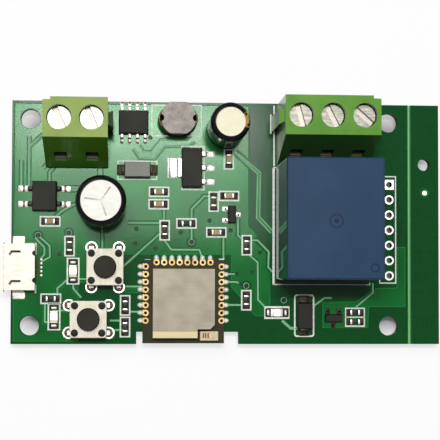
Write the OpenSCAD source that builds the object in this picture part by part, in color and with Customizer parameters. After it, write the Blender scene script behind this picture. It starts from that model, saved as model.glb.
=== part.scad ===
// Smart relay module: a bare circuit board that switches a mains load with one relay.
// The origin is the centre of the four mounting holes, on the underside of the board.
// +Z is up through the board, +X runs along it towards the break-off rail, +Y towards the terminals.

/* [Board] */
// Spacing of the mounting holes along the board
hole_pitch_x = 59.5; // [57:0.5:75]
// Spacing of the mounting holes across the board
hole_pitch_y = 34; // [33:0.5:50]
// Bore of a mounting hole
hole_d = 3.2; // [2.2:0.1:3.8]
// Mounting hole centre to the left, top and bottom edges
edge_margin = 3; // [2.5:0.1:6]
// Mounting hole centre to the score line on the right
score_margin = 3.5; // [2.5:0.1:6]
// Width of the break-off rail past the score line
rail_w = 5; // [3:0.5:12]
// Thickness of the board
pcb_t = 1.6; // [0.8:0.1:2.4]
// Depth of the score on each face
score_depth = 0.5; // [0.1:0.05:0.7]
// Width of the score at the surface
score_w = 0.6; // [0.2:0.1:1.5]
// Bore of the tooling hole in the rail
rail_hole_d = 2; // [1:0.1:2.6]
// Height of the tooling hole above the middle of the board
rail_hole_y = 10; // [0:0.5:14]
// Depth of the notch under the antenna
notch_depth = 2; // [0.5:0.1:3]
// Room in the notch left of the wireless module
notch_left = 1; // [0.2:0.1:1.5]
// Room in the notch right of the wireless module
notch_right = 2.5; // [0.2:0.1:3]

/* [Header holes] */
// Number of empty header holes
header_count = 7; // [2:1:9]
// Pitch of the header holes
header_pitch = 2.54; // [2:0.27:2.54]
// Bore of a header hole
header_hole_d = 1; // [0.7:0.1:1.4]
// Header row to the score line
header_inset = 3.4; // [2:0.1:4.5]
// Height of the first header hole above the middle of the board
header_y = 6.6; // [4:0.1:10]

/* [Layout] */
// Supply terminal: centre from the left edge, wire face from the top edge
supply_inset = [10.7, 1.1]; // [0:0.1:30]
// Load terminal: centre from the score line, wire face from the top edge
load_inset = [14.7, 0.3]; // [0:0.1:30]
// Relay: centre from the score line, gap behind the load terminal
relay_inset = [14.8, 0.2]; // [0:0.1:30]
// USB socket: mouth beyond the left edge, centre below the middle of the board
usb_inset = [1.4, 7.45]; // [0:0.05:12]
// Wireless module: centre left of the middle, edge above the bottom edge
module_inset = [4.55, 0.15]; // [0:0.05:8]
// First push switch, legs up and down the board
switch_1_place = [-17.4, -7.4]; // [-30:0.1:30]
// Second push switch, legs along the board
switch_2_place = [-20.05, -15.9]; // [-30:0.1:30]
// Input capacitor
input_capacitor_place = [-18, 2.8]; // [-30:0.1:30]
// Output capacitor
output_capacitor_place = [2.4, 15.5]; // [-30:0.1:30]
// Buck converter: place along the board, centre below the top edge
buck_inset = [-12.85, 3.5]; // [-30:0.05:30]
// Inductor: place along the board, centre below the top edge
inductor_inset = [-5.6, 3.15]; // [-30:0.05:30]
// Bridge rectifier
rectifier_place = [-27.35, 4.2]; // [-30:0.05:30]
// Voltage regulator
regulator_place = [-3.25, 9.1]; // [-30:0.05:30]

/* [Relay] */
// Length of the relay
relay_l = 19.1; // [18.6:0.1:24]
// Width of the relay
relay_w = 15.4; // [15:0.1:20]
// Height of the relay above the board
relay_h = 15.5; // [14.5:0.1:20]
// Wall of the relay cover
relay_wall = 0.9; // [0.5:0.05:1]
// Corner radius of the relay cover
relay_corner_r = 0.7; // [0.2:0.1:1.5]
// Feet that hold the relay off the board
relay_standoff = 0.3; // [0.1:0.05:0.8]
// Thickness of the relay base
relay_base_t = 1.6; // [1:0.1:2.2]
// Distance from the common pin to the contact pins
relay_pin_span = 14.2; // [13.5:0.1:14.6]
// Distance from the common pin to the coil pins along the relay
relay_coil_pin_step = 2; // [1.8:0.1:4]
// Distance between the two coil pins, and between the two contact pins
relay_pin_pitch = 12; // [11:0.1:12.2]
// Broad side of a relay pin
relay_pin_w = 1; // [0.6:0.05:1.1]
// Thin side of a relay pin
relay_pin_t = 0.6; // [0.3:0.05:0.8]
// Wall of the relay base around a pin
pin_lug_wall = 0.2; // [0.15:0.05:0.4]
// Thickness of the yoke
yoke_t = 1.2; // [0.8:0.05:1.5]
// Width of the yoke and the armature
yoke_w = 8; // [6:0.1:9]
// Room behind the yoke for the leaf's bent end
spring_room = 0.65; // [0.6:0.05:0.8]
// Diameter of the coil core
core_d = 3.2; // [2:0.1:4]
// Diameter of the core's pole
pole_d = 6.4; // [5:0.1:8]
// Thickness of the pole
pole_t = 0.8; // [0.4:0.05:1]
// Thickness of a bobbin flange
bobbin_flange_t = 0.8; // [0.5:0.05:1]
// Depth of the bobbin along the relay
bobbin_l = 10.4; // [8:0.1:10.8]
// Wall of the bobbin's tube
bobbin_wall = 0.8; // [0.4:0.05:1.2]
// Diameter of the coil
coil_d = 9.6; // [8:0.1:10]
// Thickness of the armature
armature_t = 1; // [0.6:0.05:1.3]
// Length of the armature from its hinge
armature_l = 11; // [9:0.1:12]
// Lift of the armature at rest, in degrees
rest_tilt = 3.5; // [2:0.1:4]
// Lift left when the armature is pulled in, in degrees
closed_tilt = 0.5; // [0.3:0.1:1]
// Thickness of the contact leaf
leaf_t = 0.25; // [0.1:0.05:0.3]
// Width of the contact leaf
leaf_w = 4; // [2:0.1:5]
// Length of the leaf's bent end behind the yoke
leaf_drop = 3.5; // [1:0.1:4]
// Thickness of a fixed contact blade
blade_t = 0.4; // [0.2:0.05:0.6]
// Diameter of a contact rivet
rivet_d = 2.4; // [1.6:0.1:2.6]
// Thickness of a rivet head
rivet_t = 0.4; // [0.2:0.05:0.5]
// Room between the rivets and the cover's end wall
rivet_end_room = 0.35; // [0.2:0.05:0.6]
// Gap left between contacts that meet
contact_gap = 0.06; // [0.03:0.01:0.1]

/* [Terminals] */
// Pitch of the terminal ways
pole_pitch = 5.08; // [5:0.04:7.5]
// Height of a terminal housing
block_h = 12.5; // [12:0.1:16]
// Depth of a terminal housing at the board
block_d = 9.9; // [9.5:0.1:12]
// Depth of a terminal housing at the top
block_top_d = 6.3; // [5.8:0.1:7]
// Upright foot of the sloping rear face
block_foot_h = 1.2; // [0.5:0.1:2.5]
// Stand of the dovetail rib on the housing's side
rib_t = 0.8; // [0.3:0.1:1]
// Width of the dovetail rib at its root
rib_w = 1.8; // [1:0.1:2.5]
// Corner step at the top of the wire face: width, depth
step_size = [1.2, 0.5]; // [0.2:0.1:1.5]
// Bore above a terminal screw
screw_hole_d = 3.9; // [3.8:0.05:4.4]
// Diameter of a terminal screw's head
screw_head_d = 3.7; // [3:0.05:3.7]
// Thickness of a terminal screw's head
screw_head_t = 1.5; // [1:0.1:1.9]
// Diameter of a terminal screw's shank
screw_d = 2.5; // [1.6:0.1:2.6]
// Width of the screwdriver slot
slot_w = 0.9; // [0.4:0.05:1.2]
// Depth of the screwdriver slot
slot_depth = 0.8; // [0.4:0.05:0.9]
// Width of a clamp
clamp_w = 3.6; // [3.2:0.05:3.7]
// Depth of a clamp
clamp_d = 4.2; // [3.4:0.05:4.4]
// Side wall of a clamp
clamp_wall = 0.5; // [0.3:0.05:0.6]
// Floor of a clamp
clamp_floor_t = 0.8; // [0.5:0.05:1]
// Roof of a clamp, threaded on the screw
clamp_roof_t = 1.3; // [0.8:0.05:1.5]
// Window of a clamp, for the wire and the contact bar
clamp_window_h = 3.3; // [3:0.05:3.5]
// Underside of a clamp above the board, fully open
clamp_rest_z = 1.9; // [1.5:0.1:2]
// Rise of a clamp from open to closed
clamp_travel = 2; // [1:0.05:2]
// Thickness of a contact bar
bar_t = 0.8; // [0.5:0.05:1]
// Width of a contact bar
bar_w = 2.2; // [1.6:0.05:2.2]
// Screw axis to the centre of the terminal's pin
pin_setback = 3.75; // [3.4:0.05:4]
// Broad side of a terminal pin
terminal_pin_w = 1; // [0.6:0.05:1.2]
// Thin side of a terminal pin
terminal_pin_t = 0.8; // [0.5:0.05:0.9]
// Width of a rear window
window_w = 2; // [1:0.1:2.4]
// Height of a rear window
window_h = 3.3; // [2:0.1:4]
// Sill of a rear window above the board
window_z = 3.6; // [2:0.1:4]
// Length of the pin's tab on the sill
tab_l = 1.4; // [0.5:0.1:1.6]
// Thickness of the pin's tab
tab_t = 0.4; // [0.2:0.05:0.6]
// Width of a wire entry
entry_w = 3.2; // [2:0.1:3.4]
// Margin of the shallow recess around a wire entry
entry_recess = 0.4; // [0.1:0.05:0.6]
// Turn of each screwdriver slot from the wire direction, in degrees
slot_turns = [23, 23, 15, 27, 48]; // [0:1:90]

/* [USB socket] */
// Width of the shell
usb_w = 7.5; // [7:0.1:9]
// Depth of the shell
usb_d = 5.4; // [5:0.1:7]
// Height of the shell
usb_h = 2.6; // [2.4:0.1:3.4]
// Thickness of the shell
usb_wall = 0.3; // [0.2:0.05:0.4]
// Flare of the mouth
usb_flare = 0.25; // [0.1:0.05:0.3]
// Length of the flared mouth
usb_flare_l = 0.4; // [0.2:0.1:0.8]
// Bevel of the shell's two lower edges
usb_bevel = 1; // [0.6:0.1:1.2]
// Length of a side tab
usb_tab_l = 1.8; // [1:0.1:2.5]
// Stand of a side tab
usb_tab_w = 0.9; // [0.5:0.1:1.5]
// Thickness of the tongue
tongue_t = 0.6; // [0.4:0.05:0.7]
// Width of the tongue
tongue_w = 3.8; // [3.4:0.1:4.4]
// Length of the plastic block at the rear
usb_block_l = 1.6; // [1:0.1:2]
// Pitch of the contacts
usb_pitch = 0.65; // [0.5:0.05:0.7]
// Width of a contact
usb_contact_w = 0.3; // [0.15:0.05:0.35]
// Thickness of a contact
usb_contact_t = 0.15; // [0.1:0.05:0.2]

/* [Push switches] */
// Side of a switch
switch_w = 6; // [5.8:0.1:7]
// Height of the base
switch_base_h = 3.3; // [2.8:0.1:4.5]
// Thickness of the cover plate
switch_cover_t = 0.3; // [0.15:0.05:0.4]
// Depth of the cover's folded sides
switch_skirt_h = 2.2; // [1:0.1:2.6]
// Corner radius of the cover plate
switch_corner_r = 0.5; // [0.2:0.1:0.8]
// Diameter of the plunger
plunger_d = 3.5; // [2.5:0.1:3.6]
// Top of the plunger above the board
plunger_h = 5; // [4.6:0.1:9]
// Travel of the plunger
plunger_travel = 0.25; // [0.1:0.05:0.3]
// Rim that keeps the plunger under the cover
plunger_rim = 0.4; // [0.2:0.05:0.45]
// Thickness of that rim
plunger_rim_t = 0.6; // [0.3:0.05:0.8]
// Diameter of a stake through the cover
stake_d = 1.1; // [0.8:0.05:1.2]
// Stake to the middle of the switch, along each side
stake_inset = 2.2; // [2.1:0.05:2.3]
// Stand of a stake above the cover
stake_h = 0.3; // [0.1:0.05:0.5]
// Floor of the switch well
switch_floor_t = 0.8; // [0.5:0.1:1]
// Thickness of the snap dome
dome_t = 0.12; // [0.08:0.02:0.2]
// Rise of the snap dome
dome_rise = 0.5; // [0.2:0.05:0.6]
// Leg spacing across the switch
leg_span = 6.5; // [6.4:0.1:8]
// Leg spacing along one side
leg_pitch = 4.5; // [3.5:0.1:4.8]
// Broad side of a leg
leg_w = 0.7; // [0.4:0.05:0.9]
// Thickness of a leg
leg_t = 0.3; // [0.2:0.05:0.4]
// Height at which a leg leaves the base
leg_z = 0.7; // [0.4:0.1:1]

/* [Wireless module] */
// Width of the module board
module_w = 13.4; // [12:0.1:18]
// Length of the module board
module_l = 13.7; // [13:0.1:18]
// Thickness of the module board
module_t = 0.8; // [0.6:0.1:1.6]
// Number of pads on each of three sides
castellation_count = 8; // [4:1:8]
// Pitch of the pads
castellation_pitch = 1.27; // [1:0.01:1.3]
// First side pad below the module's top edge
castellation_inset = 1.05; // [0.9:0.05:2]
// Diameter of a pad around its half hole
castellation_d = 0.9; // [0.6:0.05:1]
// Diameter of a half hole
castellation_bore = 0.5; // [0.3:0.05:0.5]
// Width of the shield can
can_w = 10.1; // [9:0.1:11.5]
// Length of the shield can
can_l = 11.3; // [10:0.1:11.6]
// Height of the shield can
can_h = 2; // [1.6:0.1:3]
// Sheet of the shield can
can_t = 0.2; // [0.1:0.05:0.3]
// Top of the can below the module's top edge
can_inset = 1.5; // [1.3:0.1:1.8]
// Corner of the can cut away beside the antenna
can_cut = [2.8, 1.45]; // [1:0.05:4]
// Antenna size
antenna_size = [3, 1.55, 0.8]; // [0.5:0.05:4]
// Antenna: from the module's right edge, and past the can's bottom edge
antenna_inset = [1, 0.45]; // [0.1:0.05:1.1]

/* [Capacitors and inductor] */
// Diameter of the input capacitor
input_capacitor_d = 8; // [6:0.1:8.4]
// Height of the input capacitor
input_capacitor_h = 12; // [8:0.5:20]
// Lead pitch of the input capacitor
input_lead_pitch = 3.5; // [2:0.1:4]
// Diameter of the output capacitor
output_capacitor_d = 6.3; // [5:0.1:6.6]
// Height of the output capacitor
output_capacitor_h = 11; // [7:0.5:20]
// Lead pitch of the output capacitor
output_lead_pitch = 2.5; // [1.8:0.1:3]
// Diameter of a capacitor lead
capacitor_lead_d = 0.6; // [0.4:0.05:0.8]
// Thickness of a capacitor's sleeve
sleeve_t = 0.12; // [0.05:0.01:0.2]
// Wall of a capacitor's can
capacitor_wall = 0.25; // [0.15:0.05:0.4]
// Lap of the sleeve over the can's top
sleeve_lap = 0.7; // [0.3:0.1:1]
// Height of the rubber bung
bung_h = 2.4; // [2:0.1:3]
// Depth of the crimp groove around the bung
crimp_depth = 0.3; // [0.1:0.05:0.4]
// Height of the crimp groove above the base
crimp_z = 1.3; // [1.1:0.1:1.4]
// Diameter of the inductor's flanges
inductor_d = 5.8; // [5:0.1:6.2]
// Inductor across its two flats
inductor_flat = 5.2; // [4.2:0.1:5.6]
// Height of the inductor
inductor_h = 4.5; // [3:0.1:6]
// Thickness of an inductor flange
inductor_flange_t = 1; // [0.6:0.1:1.3]
// Diameter of the inductor's neck
inductor_neck_d = 3; // [2:0.1:3.4]
// Diameter of the winding
winding_d = 6.5; // [4:0.1:6.6]
// Radius of the wire notches in the flanges
inductor_notch_r = 0.55; // [0.3:0.05:0.7]

/* [Small packages] */
// Buck converter body: along the board, across it, height
buck_size = [4.9, 3.9, 1.45]; // [1:0.05:6]
// Bridge rectifier body: along the board, across it, height
rectifier_size = [4, 4.9, 1.9]; // [1:0.05:6]
// Voltage regulator body: along the board, across it, height
regulator_size = [3.4, 6.5, 1.6]; // [1:0.05:8]
// Small transistor body: across its leads, along them, height
transistor_size = [1.3, 2.9, 1]; // [0.5:0.05:4]
// Diode body: length, width, height
diode_size = [4.3, 2.6, 1.9]; // [1:0.05:5]
// Draft of a moulded body's sides
body_draft = 0.12; // [0.05:0.01:0.2]
// Standoff of a moulded body
body_standoff = 0.15; // [0.05:0.05:0.25]
// Thickness of a package lead
lead_t = 0.2; // [0.1:0.05:0.25]
// Length of a lead's foot
lead_foot = 0.6; // [0.3:0.05:0.8]
// Reach of a large package's leads past its body
lead_reach = 1.2; // [0.9:0.05:1.4]
// Reach of a small transistor's leads past its body
transistor_reach = 0.6; // [0.55:0.05:0.7]
// Chip capacitor: length, width, height
capacitor_chip = [1.6, 0.8, 0.8]; // [0.4:0.05:2]
// Chip resistor: length, width, height
resistor_chip = [1.6, 0.8, 0.45]; // [0.3:0.05:2]
// Length of a chip's plated end
termination_l = 0.3; // [0.15:0.05:0.5]
// Status LED: length, width, height of its base
led_size = [2, 1.25, 0.35]; // [0.2:0.05:2.4]
// Length of the LED's clear block
led_lens_l = 1.2; // [0.8:0.05:1.6]
// Height of the LED's clear block
led_lens_h = 0.45; // [0.2:0.05:0.8]

/* [Soldering and fits] */
// Length of lead tails under the board
tail_l = 1.9; // [1.4:0.1:3]
// Height of a solder cone
solder_h = 1.2; // [0.5:0.1:1.3]
// Solder land around a drilled hole
solder_land = 0.4; // [0.2:0.05:0.5]
// Solder left around a lead at the cone's tip
solder_tip = 0.15; // [0.05:0.05:0.3]
// Room around a lead in its drilled hole
pin_hole_gap = 0.1; // [0.05:0.05:0.2]
// Gap between pieces that slide or turn
run_gap = 0.1; // [0.05:0.01:0.15]
// Gap between pieces that fit together
fit_gap = 0.05; // [0.02:0.01:0.08]

/* [Hidden] */
$fn = 48;
cut = 1;

// Edges of the board
left_x = -hole_pitch_x / 2 - edge_margin;
score_x = hole_pitch_x / 2 + score_margin;
right_x = score_x + rail_w;
top_y = hole_pitch_y / 2 + edge_margin;
mount_holes = [for (sx = [-1, 1], sy = [-1, 1]) [sx * hole_pitch_x / 2, sy * hole_pitch_y / 2]];
rail_hole = [score_x + rail_w / 2, rail_hole_y];
header_holes = [for (i = [0 : header_count - 1]) [score_x - header_inset, header_y - i * header_pitch]];

// Terminal ways, left to right: two on the supply terminal, three on the load terminal
supply_ways = 2;
load_ways = 3;
supply_place = [left_x + supply_inset[0], top_y - supply_inset[1]];
load_place = [score_x - load_inset[0], top_y - load_inset[1]];
screw_inset = block_top_d / 2;
function way_offset(i, ways) = (i - (ways - 1) / 2) * pole_pitch;
supply_poles = [for (i = [0 : supply_ways - 1]) supply_place + [way_offset(i, supply_ways), -screw_inset]];
load_poles = [for (i = [0 : load_ways - 1]) load_place + [way_offset(i, load_ways), -screw_inset]];
poles = concat(supply_poles, load_poles);
clamp_h = clamp_floor_t + clamp_window_h + clamp_roof_t;
bar_top = clamp_rest_z + clamp_floor_t + clamp_window_h - run_gap;
chamber_top = clamp_rest_z + clamp_h + clamp_travel + run_gap;
head_z = chamber_top + fit_gap;

// Relay frame: the common pin's end is towards -Y, the contacts' end towards the load terminal
relay_place = [score_x - relay_inset[0], load_place[1] - block_d - relay_inset[1] - relay_l / 2];
relay_inner_w = relay_w - 2 * relay_wall;
relay_inner_l = relay_l - 2 * relay_wall;
com_y = -relay_pin_span / 2;
contact_y = relay_pin_span / 2;
rivet_y = relay_inner_l / 2 - rivet_d / 2 - rivet_end_room;
coil_pin_y = com_y + relay_coil_pin_step;
relay_pins_at = [
    [0, com_y, relay_pin_w, relay_pin_t],
    [-relay_pin_pitch / 2, coil_pin_y, relay_pin_t, relay_pin_w],
    [relay_pin_pitch / 2, coil_pin_y, relay_pin_t, relay_pin_w],
    [-relay_pin_pitch / 2, contact_y, relay_pin_t, relay_pin_w],
    [relay_pin_pitch / 2, contact_y, relay_pin_t, relay_pin_w]
];
yoke_z = relay_standoff + relay_base_t;
pivot_y = -(relay_inner_l / 2 - spring_room);
core_y = pivot_y + yoke_t + bobbin_l / 2 + 4 * run_gap;
break_blade_z = relay_h - relay_wall - 3 * run_gap - blade_t;
break_face_z = break_blade_z - rivet_t;
arm_l = rivet_y - pivot_y;
moving_top = armature_t + leaf_t + rivet_t;
pivot_z = break_face_z - contact_gap - (arm_l + rivet_d / 2) * sin(rest_tilt) - moving_top * cos(rest_tilt);
make_face_z = pivot_z + (arm_l - rivet_d / 2) * sin(closed_tilt) + armature_t - rivet_t - contact_gap;
make_blade_z = make_face_z - rivet_t - blade_t;
pole_z = pivot_z - fit_gap;
spool_z = yoke_z + yoke_t;
spool_top = pole_z - pole_t;
spool_d = core_d + 2 * fit_gap + 2 * bobbin_wall;

// Push switches: place and turn of each
switches = [[switch_1_place, 0], [switch_2_place, 90]];
function turned(p, a) = [p[0] * cos(a) - p[1] * sin(a), p[0] * sin(a) + p[1] * cos(a)];
leg_places = [for (sx = [-1, 1], sy = [-1, 1]) [sx * leg_pitch / 2, sy * leg_span / 2]];
well_d = plunger_d + 2 * plunger_rim + 2 * run_gap;
dome_z = switch_floor_t + dome_rise;
plunger_foot_z = dome_z + plunger_travel + fit_gap;
rim_top = switch_base_h - fit_gap;

// Capacitors: place, diameter, height, lead pitch
input_capacitor = [input_capacitor_place, input_capacitor_d, input_capacitor_h, input_lead_pitch];
output_capacitor = [output_capacitor_place, output_capacitor_d, output_capacitor_h, output_lead_pitch];
capacitors = [input_capacitor, output_capacitor];

// Other places
usb_place = [left_x - usb_inset[0], -usb_inset[1]];
module_place = [-module_inset[0], -top_y + module_inset[1] + module_l / 2];
can_place = [0, module_l / 2 - can_inset - can_l / 2];
buck_place = [buck_inset[0], top_y - buck_inset[1]];
inductor_place = [inductor_inset[0], top_y - inductor_inset[1]];

// Small packages: place and turn of each
transistor_places = [[[3.45, 1.4], 0], [[20.4, -15.7], -90]];
diode_places = [[[-12.2, 8.65], 0], [[15.5, -15.3], 90]];
capacitor_chip_places = [
    [[-26.45, 0.1], 0], [[2.95, 10.6], 90], [[-8.6, 5.1], 0], [[-8.65, 3.05], 0], [[3, 4.5], 0],
    [[0.9, -1.55], 0]
];
resistor_chip_places = [
    [[-7.65, -1.25], 90], [[-4.05, -0.1], 0], [[0.45, 3.55], 90], [[5.95, -3.65], 90], [[5.9, -12.75], 90],
    [[24.05, -14.75], 0], [[24.05, -16.3], 0], [[-23.25, -3.95], 90], [[-26.25, -12.6], 0],
    [[-14.1, -13.65], 90], [[-14.1, -17.2], 90]
];
led_places = [[[-22.65, -8.05], 90], [[-25.7, -15.55], 90], [[10.95, -14.8], 0]];

// Every lead that passes through the board: [x, y, side, side], or [x, y, diameter] for a round one
through_leads = concat(
    [for (p = relay_pins_at) [relay_place[0] + p[0], relay_place[1] + p[1], p[2], p[3]]],
    [for (p = poles) [p[0], p[1] - pin_setback, terminal_pin_w, terminal_pin_t]],
    [for (s = switches, l = leg_places) let (p = s[0] + turned(l, s[1]))
        s[1] == 0 ? [p[0], p[1], leg_w, leg_t] : [p[0], p[1], leg_t, leg_w]],
    [for (c = capacitors, side = [-1, 1]) [c[0][0] + side * c[3] / 2, c[0][1], capacitor_lead_d]]
);
function lead_size(p) = len(p) == 3 ? p[2] : norm([p[2], p[3]]);
function drill_d(p) = lead_size(p) + 2 * pin_hole_gap;

// Shared shapes
module on_board(p, a = 0) translate([p[0], p[1], pcb_t]) rotate(a) children();

module block(size, z) translate([-size[0] / 2, -size[1] / 2, z]) cube(size);

// A bar between two values on each axis
module span(x, y, z) translate([x[0], y[0], z[0]]) cube([x[1] - x[0], y[1] - y[0], z[1] - z[0]]);

// A profile drawn in Y and Z, with its width along X
module across(w) rotate([90, 0, 90]) linear_extrude(w, center = true) children();

// A profile drawn in X and Z, with its width along Y
module along(w) rotate([90, 0, 0]) linear_extrude(w, center = true) children();

module rounded_rectangle(w, l, r) {
    square([w - 2 * r, l], center = true);
    square([w, l - 2 * r], center = true);
    for (sx = [-1, 1], sy = [-1, 1])
        translate([sx * (w / 2 - r), sy * (l / 2 - r)]) circle(r);
}

module rounded_block(w, l, z0, z1, r)
    translate([0, 0, z0]) linear_extrude(z1 - z0) rounded_rectangle(w, l, r);

module lead_bar(p, z0, z1)
    if (len(p) == 3) translate([p[0], p[1], z0]) cylinder(d = p[2], h = z1 - z0);
    else translate([p[0], p[1], 0]) block([p[2], p[3], z1 - z0], z0);

module drill(p, d) translate([p[0], p[1], -cut]) cylinder(d = d, h = pcb_t + 2 * cut);

// Circuit board
module score_groove()
    along(4 * top_y) polygon([
        [score_x - score_w, pcb_t + score_depth],
        [score_x + score_w, pcb_t + score_depth],
        [score_x, pcb_t - score_depth]
    ]);

module pcb() color("seagreen") difference() {
    span([left_x, right_x], [-top_y, top_y], [0, pcb_t]);
    for (p = mount_holes) drill(p, hole_d);
    for (p = header_holes) drill(p, header_hole_d);
    for (p = through_leads) drill(p, drill_d(p));
    drill(rail_hole, rail_hole_d);
    span(
        [module_place[0] - module_w / 2 - notch_left, module_place[0] + module_w / 2 + notch_right],
        [-top_y - cut, -top_y + notch_depth],
        [-cut, pcb_t + cut]
    );
    score_groove();
    translate([0, 0, pcb_t]) mirror([0, 0, 1]) score_groove();
}

module solder_joints() color("silver") for (p = through_leads) difference() {
    translate([p[0], p[1], -solder_h])
        cylinder(d1 = lead_size(p) + 2 * solder_tip, d2 = drill_d(p) + 2 * solder_land, h = solder_h);
    lead_bar(p, -solder_h - cut, cut);
}

// Relay: the base has a lug around each pin, and the cover makes room for it where the pins stand far out
function grown(p, gap) = [p[0], p[1], p[2] + 2 * gap, p[3] + 2 * gap];

module relay_cover() color("royalblue") on_board(relay_place) difference() {
    rounded_block(relay_w, relay_l, relay_standoff, relay_h, relay_corner_r);
    block([relay_inner_w, relay_inner_l, relay_h - relay_wall], 0);
    for (p = relay_pins_at) lead_bar(grown(p, pin_lug_wall + 2 * fit_gap), 0, relay_h - relay_wall);
}

module relay_base() color("midnightblue") on_board(relay_place) difference() {
    union() {
        block([relay_inner_w - 2 * fit_gap, relay_inner_l - 2 * fit_gap, relay_base_t], relay_standoff);
        for (p = relay_pins_at) lead_bar(grown(p, pin_lug_wall + fit_gap), relay_standoff, yoke_z);
        for (sx = [-1, 1], sy = [-1, 1])
            translate([sx * relay_inner_w / 4, sy * relay_inner_l / 4, 0])
                cylinder(d = relay_base_t, h = relay_standoff + relay_base_t);
    }
    for (p = relay_pins_at) lead_bar(grown(p, fit_gap), 0, yoke_z + cut);
}

module relay_yoke() color("gainsboro") on_board(relay_place) difference() {
    union() {
        span([-yoke_w / 2, yoke_w / 2], [pivot_y, pivot_y + yoke_t], [yoke_z, pole_z]);
        span([-yoke_w / 2, yoke_w / 2], [pivot_y, core_y + pole_d / 2], [yoke_z, spool_z]);
    }
    translate([0, core_y, 0]) cylinder(d = core_d + 2 * fit_gap, h = relay_h);
}

module relay_core() color("lightgray") on_board(relay_place) translate([0, core_y, 0]) {
    translate([0, 0, yoke_z]) cylinder(d = core_d, h = pole_z - yoke_z);
    translate([0, 0, spool_top]) cylinder(d = pole_d, h = pole_t);
}

module relay_bobbin() color("ivory") on_board(relay_place) translate([0, core_y, 0]) difference() {
    union() {
        block([relay_inner_w - 4 * run_gap, bobbin_l, bobbin_flange_t], spool_z);
        block([coil_d + 2 * bobbin_wall, bobbin_l, bobbin_flange_t], spool_top - bobbin_flange_t);
        translate([0, 0, spool_z]) cylinder(d = spool_d, h = spool_top - spool_z);
    }
    cylinder(d = core_d + 2 * fit_gap, h = relay_h);
}

module relay_coil() color("peru") on_board(relay_place)
    translate([0, core_y, spool_z + bobbin_flange_t]) difference() {
        cylinder(d = coil_d, h = spool_top - spool_z - 2 * bobbin_flange_t);
        translate([0, 0, -cut]) cylinder(d = spool_d + 2 * fit_gap, h = relay_h);
    }

// The armature and its leaf, drawn flat from the hinge line and lifted to their rest angle
module lifted() on_board(relay_place) translate([0, pivot_y, pivot_z]) children();

module relay_armature() color("gainsboro") lifted() rotate([rest_tilt, 0, 0])
    span([-yoke_w / 2, yoke_w / 2], [0, armature_l], [0, armature_t]);

module relay_contact_leaf() color("darkgoldenrod") lifted() {
    leaf_end = arm_l + rivet_d / 2;
    rotate([rest_tilt, 0, 0]) {
        span([-leaf_w / 2, leaf_w / 2], [-leaf_t - run_gap, leaf_end], [armature_t, armature_t + leaf_t]);
        translate([0, arm_l, armature_t - rivet_t])
            cylinder(d = rivet_d, h = moving_top - armature_t + rivet_t);
    }
    heel_y = -run_gap - armature_t * sin(rest_tilt);
    span([-leaf_w / 2, leaf_w / 2], [heel_y - leaf_t, heel_y], [-leaf_drop, armature_t + leaf_t / 2]);
}

// A fixed contact: a pin that rises beside the coil, and a blade with a rivet over the leaf's end
module relay_contact(p, blade_z, rivet_z) {
    side = sign(p[0]);
    lead_bar(p, -pcb_t - tail_l, blade_z + blade_t);
    translate([0, 0, blade_z]) linear_extrude(blade_t) polygon([
        [p[0] + side * relay_pin_t / 2, p[1] - relay_pin_w / 2],
        [p[0] + side * relay_pin_t / 2, p[1] + relay_pin_w / 2],
        [-side * rivet_d / 2, rivet_y + relay_pin_w / 2],
        [-side * rivet_d / 2, rivet_y - relay_pin_w / 2]
    ]);
    translate([0, rivet_y, rivet_z]) cylinder(d = rivet_d, h = rivet_t);
}

module relay_make_contact() color("goldenrod") on_board(relay_place)
    relay_contact(relay_pins_at[3], make_blade_z, make_blade_z + blade_t);

module relay_break_contact() color("goldenrod") on_board(relay_place)
    relay_contact(relay_pins_at[4], break_blade_z, break_face_z);

module relay_pins() color("silver") on_board(relay_place) {
    lead_bar(relay_pins_at[0], -pcb_t - tail_l, yoke_z);
    for (i = [1, 2]) lead_bar(relay_pins_at[i], -pcb_t - tail_l, spool_z);
}

// Terminal blocks: Y runs from the wire face at 0 back into the board
module side_rib(w) translate([w / 2, -screw_inset, 0]) linear_extrude(block_h - rib_w) polygon([
    [0, -rib_w / 2], [rib_t, -rib_w / 2 - rib_t / 2], [rib_t, rib_w / 2 + rib_t / 2], [0, rib_w / 2]
]);

module corner_step(w)
    span([-w / 2 - cut, -w / 2 + step_size[0]], [-step_size[1], cut], [chamber_top, block_h + cut]);

// Everything that one way hollows out of a housing, drawn from the screw axis
module way_hollow() {
    chamber_w = clamp_w + 2 * run_gap;
    chamber_d = clamp_d + 2 * run_gap;
    pin_rear = pin_setback + terminal_pin_t / 2;
    bar_half = bar_w / 2 + run_gap;
    entry_half = entry_w / 2;
    entry_z = [clamp_rest_z + clamp_floor_t / 2, bar_top - bar_t];
    translate([0, 0, head_z - cut]) cylinder(d = screw_hole_d, h = block_h);
    block([chamber_w, chamber_d, chamber_top + cut], -cut);
    span([-bar_half, bar_half], [-pin_rear - run_gap, 0], [-cut, bar_top + run_gap]);
    span([-entry_half, entry_half], [0, screw_inset + cut], entry_z);
    span(
        [-entry_half - entry_recess, entry_half + entry_recess],
        [screw_inset - entry_recess, screw_inset + cut],
        [entry_z[0] - entry_recess, entry_z[1] + entry_recess]
    );
    span([-window_w / 2, window_w / 2], [-block_d, -pin_setback], [window_z, window_z + window_h]);
}

// The rib is on the right, the corner step on the left
module terminal_housing(ways) difference() {
    w = ways * pole_pitch;
    union() {
        across(w) polygon([
            [0, 0], [0, block_h], [-block_top_d, block_h], [-block_d, block_foot_h], [-block_d, 0]
        ]);
        side_rib(w);
    }
    corner_step(w);
    for (i = [0 : ways - 1]) translate([way_offset(i, ways), -screw_inset, 0]) way_hollow();
}

module supply_terminal_housing() color("yellowgreen") on_board(supply_place) terminal_housing(supply_ways);

module load_terminal_housing() color("limegreen") on_board(load_place)
    mirror([1, 0, 0]) terminal_housing(load_ways);

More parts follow.
